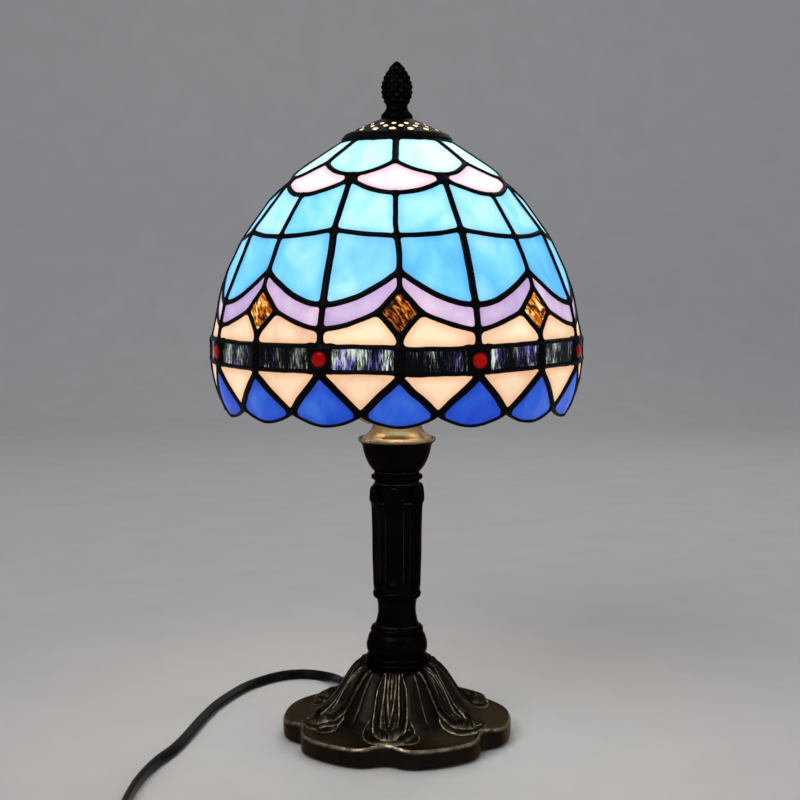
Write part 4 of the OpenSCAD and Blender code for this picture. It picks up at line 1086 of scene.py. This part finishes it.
def build_foot(count=816, rows=104):
    """The foot's points and faces, and a painted highlight along the top edge of its rim."""
    th = np.arange(count) * 360 / count
    edge = foot_radius(th)
    layers, rim_highlight = [], []
    for t in np.linspace(0, 1, rows) ** 0.92:
        r = FOOT_IN + (edge - FOOT_IN) * t
        layers.append((r, foot_top(th, r)))
        # A painted highlight along the top edge of the rim, passed to the shader through wear_and_highlight
        rim_highlight.append(0.95 * ridge(edge - r, 0.7, 0.42))
    top = layers[-1][1]
    for down, grow in points("0.5 0.28, 1.3 0.42, 3.0 0.46, 6.0 0.3, 8.4 0.15"):
        layers.append((edge + grow - 0.46, np.maximum(top - down, FELT_T + 0.5)))
    layers += [(edge - 0.5, np.full(count, FELT_T + 0.25)), (edge - 0.9, np.full(count, FELT_T))]
    for r, z in ((RECESS_R, FELT_T), (RECESS_R, 2.5), (49, 2.5), (47, 8.2), (36, 11.5), (28, 21), (22, 28),
                 (17, 32.5), (PIPE_R, 32.5), (PIPE_R, 38.9)):
        layers.append((np.full(count, float(r)), np.full(count, float(z))))
    r, z = (np.concatenate(values) for values in zip(*layers))
    verts = polar(np.tile(th, len(layers)), r, z)
    rim_highlight = np.concatenate(rim_highlight + [np.zeros(len(verts) - rows * count)])
    return verts, grid_faces(len(layers), count, wrap_cols=True, wrap_rows=True), rim_highlight


verts, faces, rim_highlight = build_foot()
foot = make("foot", verts, faces, BRONZE, "stand", ("base_casting",), keep_angle=60)
wear_and_highlight_of(foot, 0.2, 0.75, rim_highlight)


# ---------------- stand: stem and cup

PETAL_ROW = 135.0


def knop_relief(th, _, z):
    """Low overlapping leaf tips round the belly of the knop."""
    across = np.abs(((th - NOTCH_FROM) / 30) % 1 - 0.5) * 2
    belly = smoothstep(46.6, 49, z) * smoothstep(56, 53, z)
    tip = 48.6 + 4.6 * (1 - across ** 2)
    return belly * (0.3 * smoothstep(tip + 1.0, tip - 1.0, z) - 0.25), 0


def column_relief(th, r, z):
    """Six hollow panels, each with an arched petal at its head that curls out."""
    off = np.abs(from_notch(th))
    across = off / 18
    arch = np.maximum(138.6 - 5.0 * across ** 2.2, 130.6)
    shift = np.interp(z, [126, PETAL_ROW, 139.4], [0, 1, 0]) * (arch - PETAL_ROW)
    z = z + shift
    head = smoothstep(127.5, 129.5, z)
    above = smoothstep(arch - 0.1, arch + 0.6, z) * head
    lip = 0.55 * ridge(arch - z, 0.8, 0.7) * head
    scoop = -0.9 * ridge(arch - z, 4.4, 2.6) * hump(across) * head
    drop = -np.maximum(r - 12.3, 0) * above
    flute = -1.25 * hump(off / 21) ** 0.6 * smoothstep(84, 88, z) * smoothstep(130, 124, z)
    return drop + lip + scoop + flute, shift


def ring_relief(th, _, z):
    return 0.06 * np.sin(np.radians(th * 9)) * np.cos(z * 2.1), 0


# Outlines of the turned parts as radius and height, from the bore out and back to it
STEM_LINE = points("""
    5.05 38.9, 16.6 38.9|, 17.0 39.4, 17.3 40.4, 17.25 41.6, 16.6 42.3|, 17.05 43.0, 17.1 44.0,
    16.4 44.9, 15.6 45.5|, 15.8 46.3, 16.4 48.2, 16.6 50.4, 16.3 52.9, 15.5 55.4, 14.3 57.3, 13.9 57.7|,
    14.3 58.3, 14.35 59.3, 13.9 60.4, 12.8 61.2, 12.0 61.4|, 5.05 61.4""")
COLUMN_LINE = points("""
    5.05 61.4, 12 61.4|, 11.5 62.8, 11.0 64.8, 10.4 68, 10.3 70.5, 10.45 73, 10.9 75.2, 11.6 76.4,
    12.6 77.0, 13.05 78.0, 13.1 79.2, 12.8 80.1, 12.4 80.6|, 12.6 81.4, 12.9 84, 13.1 91, 13.4 100,
    13.5 112, 13.8 124, 14.25 132, 14.7 136.6, 14.9 138.8, 14.4 139.4|, 12.3 139.6|, 5.05 139.6""")
COLLAR_LINE = points("""
    5.05 139.6, 12.2 139.6|, 12.2 141.1, 12.6 141.4, 13.5 141.8, 13.95 142.6, 13.9 143.4, 13.4 144.1,
    12.5 144.5, 12.2 144.8, 12.3 146.0|, 5.05 146""")
CUP_LINE = points("""
    5.05 146, 12.4 146|, 13.6 147.6, 15.1 150.2, 16.6 153.2, 17.7 156.2, 18.4 159.2, 18.9 161.3,
    19.8 162.5, 20.7 163.3, 21.0 164.2, 20.8 164.9, 20.4 165.1, 19.9 164.7, 19.3 163.4, 18.2 161.6,
    17.2 159.8, 16.2 156.5, 15.0 153.6, 13.2 151.2, 11.5 150|, 5.05 150""")
COVER_LINE = points("""
    5.05 171.4, 12.2 171.4, 12.9 171.1, 13.3 170.4, 13.9 168.9, 15.0 167.3, 16.6 165.9, 18.2 164.9,
    19.1 163.9, 18.9 163.2, 18.0 162.6, 17.0 161.9, 16.3 162.4, 15.4 164.4, 14.2 166.2, 12.6 168.6,
    5.05 168.8""")
FINIAL_LINE = points("""
    4.25 333.7, 8.1 333.7|, 8.4 334.3, 8.4 335.3, 7.9 336.3, 6.9 337.4, 6.1 338.4, 5.7 339.4, 5.6 340.2,
    5.9 341.4, 6.7 342.9, 7.4 344.6, 7.9 346.6, 8.1 348.8, 8.05 350.8, 7.6 353.2, 6.8 355.4, 5.6 357.8,
    4.2 360.0, 2.8 361.9, 1.5 363.2, 0.5 363.8, 0.12 363.95|, 0.12 342.3|, 4.25 342.3""")
FINIAL_Z = 333.7


def cone_relief(th, r, z):
    """The scales of the pine cone: two families of spirals crossing."""
    body = smoothstep(340.8, 343.5, z) * smoothstep(363.0, 359.0, z) * (r > 1)
    u, v = th * 9 / 360, (z - 340) / 5.2
    bump = (0.5 + 0.5 * np.cos(2 * np.pi * (u + v))) * (0.5 + 0.5 * np.cos(2 * np.pi * (u - v)))
    neck = smoothstep(334.2, 335.0, z) * smoothstep(339.4, 337.5, z)
    petals = 0.35 * neck * np.abs(np.cos(np.radians(th * 5)))
    return (body * (0.95 * bump ** 0.8 - 0.5) - 0.2 * petals) * (z > FINIAL_Z + 0.2), 0


for name, node, line, relief, segments, step, material in (
        ("knop", "stem_knop", STEM_LINE, knop_relief, 180, 0.45, STEM_BRONZE),
        ("fluted_column", "column", COLUMN_LINE, column_relief, 288, 0.4, STEM_BRONZE),
        ("collar", "column_collar", COLLAR_LINE, ring_relief, 120, 0.45, STEM_BRONZE)):
    verts, faces = lathe(line, segments, step, relief=relief)
    wear_and_highlight_of(make(name, verts, faces, material, "stand", (node,), keep_angle=50), 0.45, 1.9)

verts, faces = lathe([(r, z - 0.8 * min(max((z - 146) / 4, 0), 1)) for r, z in CUP_LINE], 128, 0.5)
cup = make("oil_cup", verts, faces, CUP_BRONZE, "stand", ("cup",), keep_angle=50)
# The cup is shown in brass colour inside and along its rim lip, through wear_and_highlight
inner = np.interp(verts[:, 2], [149.1, 149.2, 152.8, 155.7, 159.0, 162.6, 164.4],
                  [0, 14, 15.3, 16.5, 17.5, 19.6, 20.2])
put(cup.data, "wear_and_highlight", np.maximum(smoothstep(162.4, 163.4, verts[:, 2]),
                                 np.hypot(verts[:, 0], verts[:, 1]) < inner))
verts, faces = lathe(COVER_LINE, 128, 0.5)
make("cup_lid", verts, faces, AGED_BRASS, "stand", ("cup_cover",), keep_angle=50)

verts, faces = lathe(FINIAL_LINE, 144, 0.4, relief=cone_relief)
finial = make("cone_finial", verts, faces, DARK_BRONZE, "finial", ("finial",), keep_angle=60)
wear_and_highlight_of(finial, 0.25, 1.3)


# Solids that are shown as they are
for material, nodes in (
        (FELT, "felt_pad"), (VENT_METAL, "vented_cap"), (BULB_GLASS, "bulb_glass filament"),
        (STEEL, "bottom_plate pipe_washer lamp_pipe plug_pins switch_screws bulb_contact bulb_cap"),
        (BRASS, "pipe_nuts harp harp_stud stud_nut shade_saddle holder_cap holder_shell screw_shell"
                " centre_contact terminal_screws finial_insert"),
        (PORCELAIN, "holder_base bulb_mount"), (COPPER_WIRE, "inner_wires"), (BLACK, "cord_gland"),
        (BLACK_GLOSS, "plug_body switch_lower switch_upper switch_rocker bulb_insulator")):
    for node in nodes.split():
        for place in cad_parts[node].material_slots:
            place.material = material
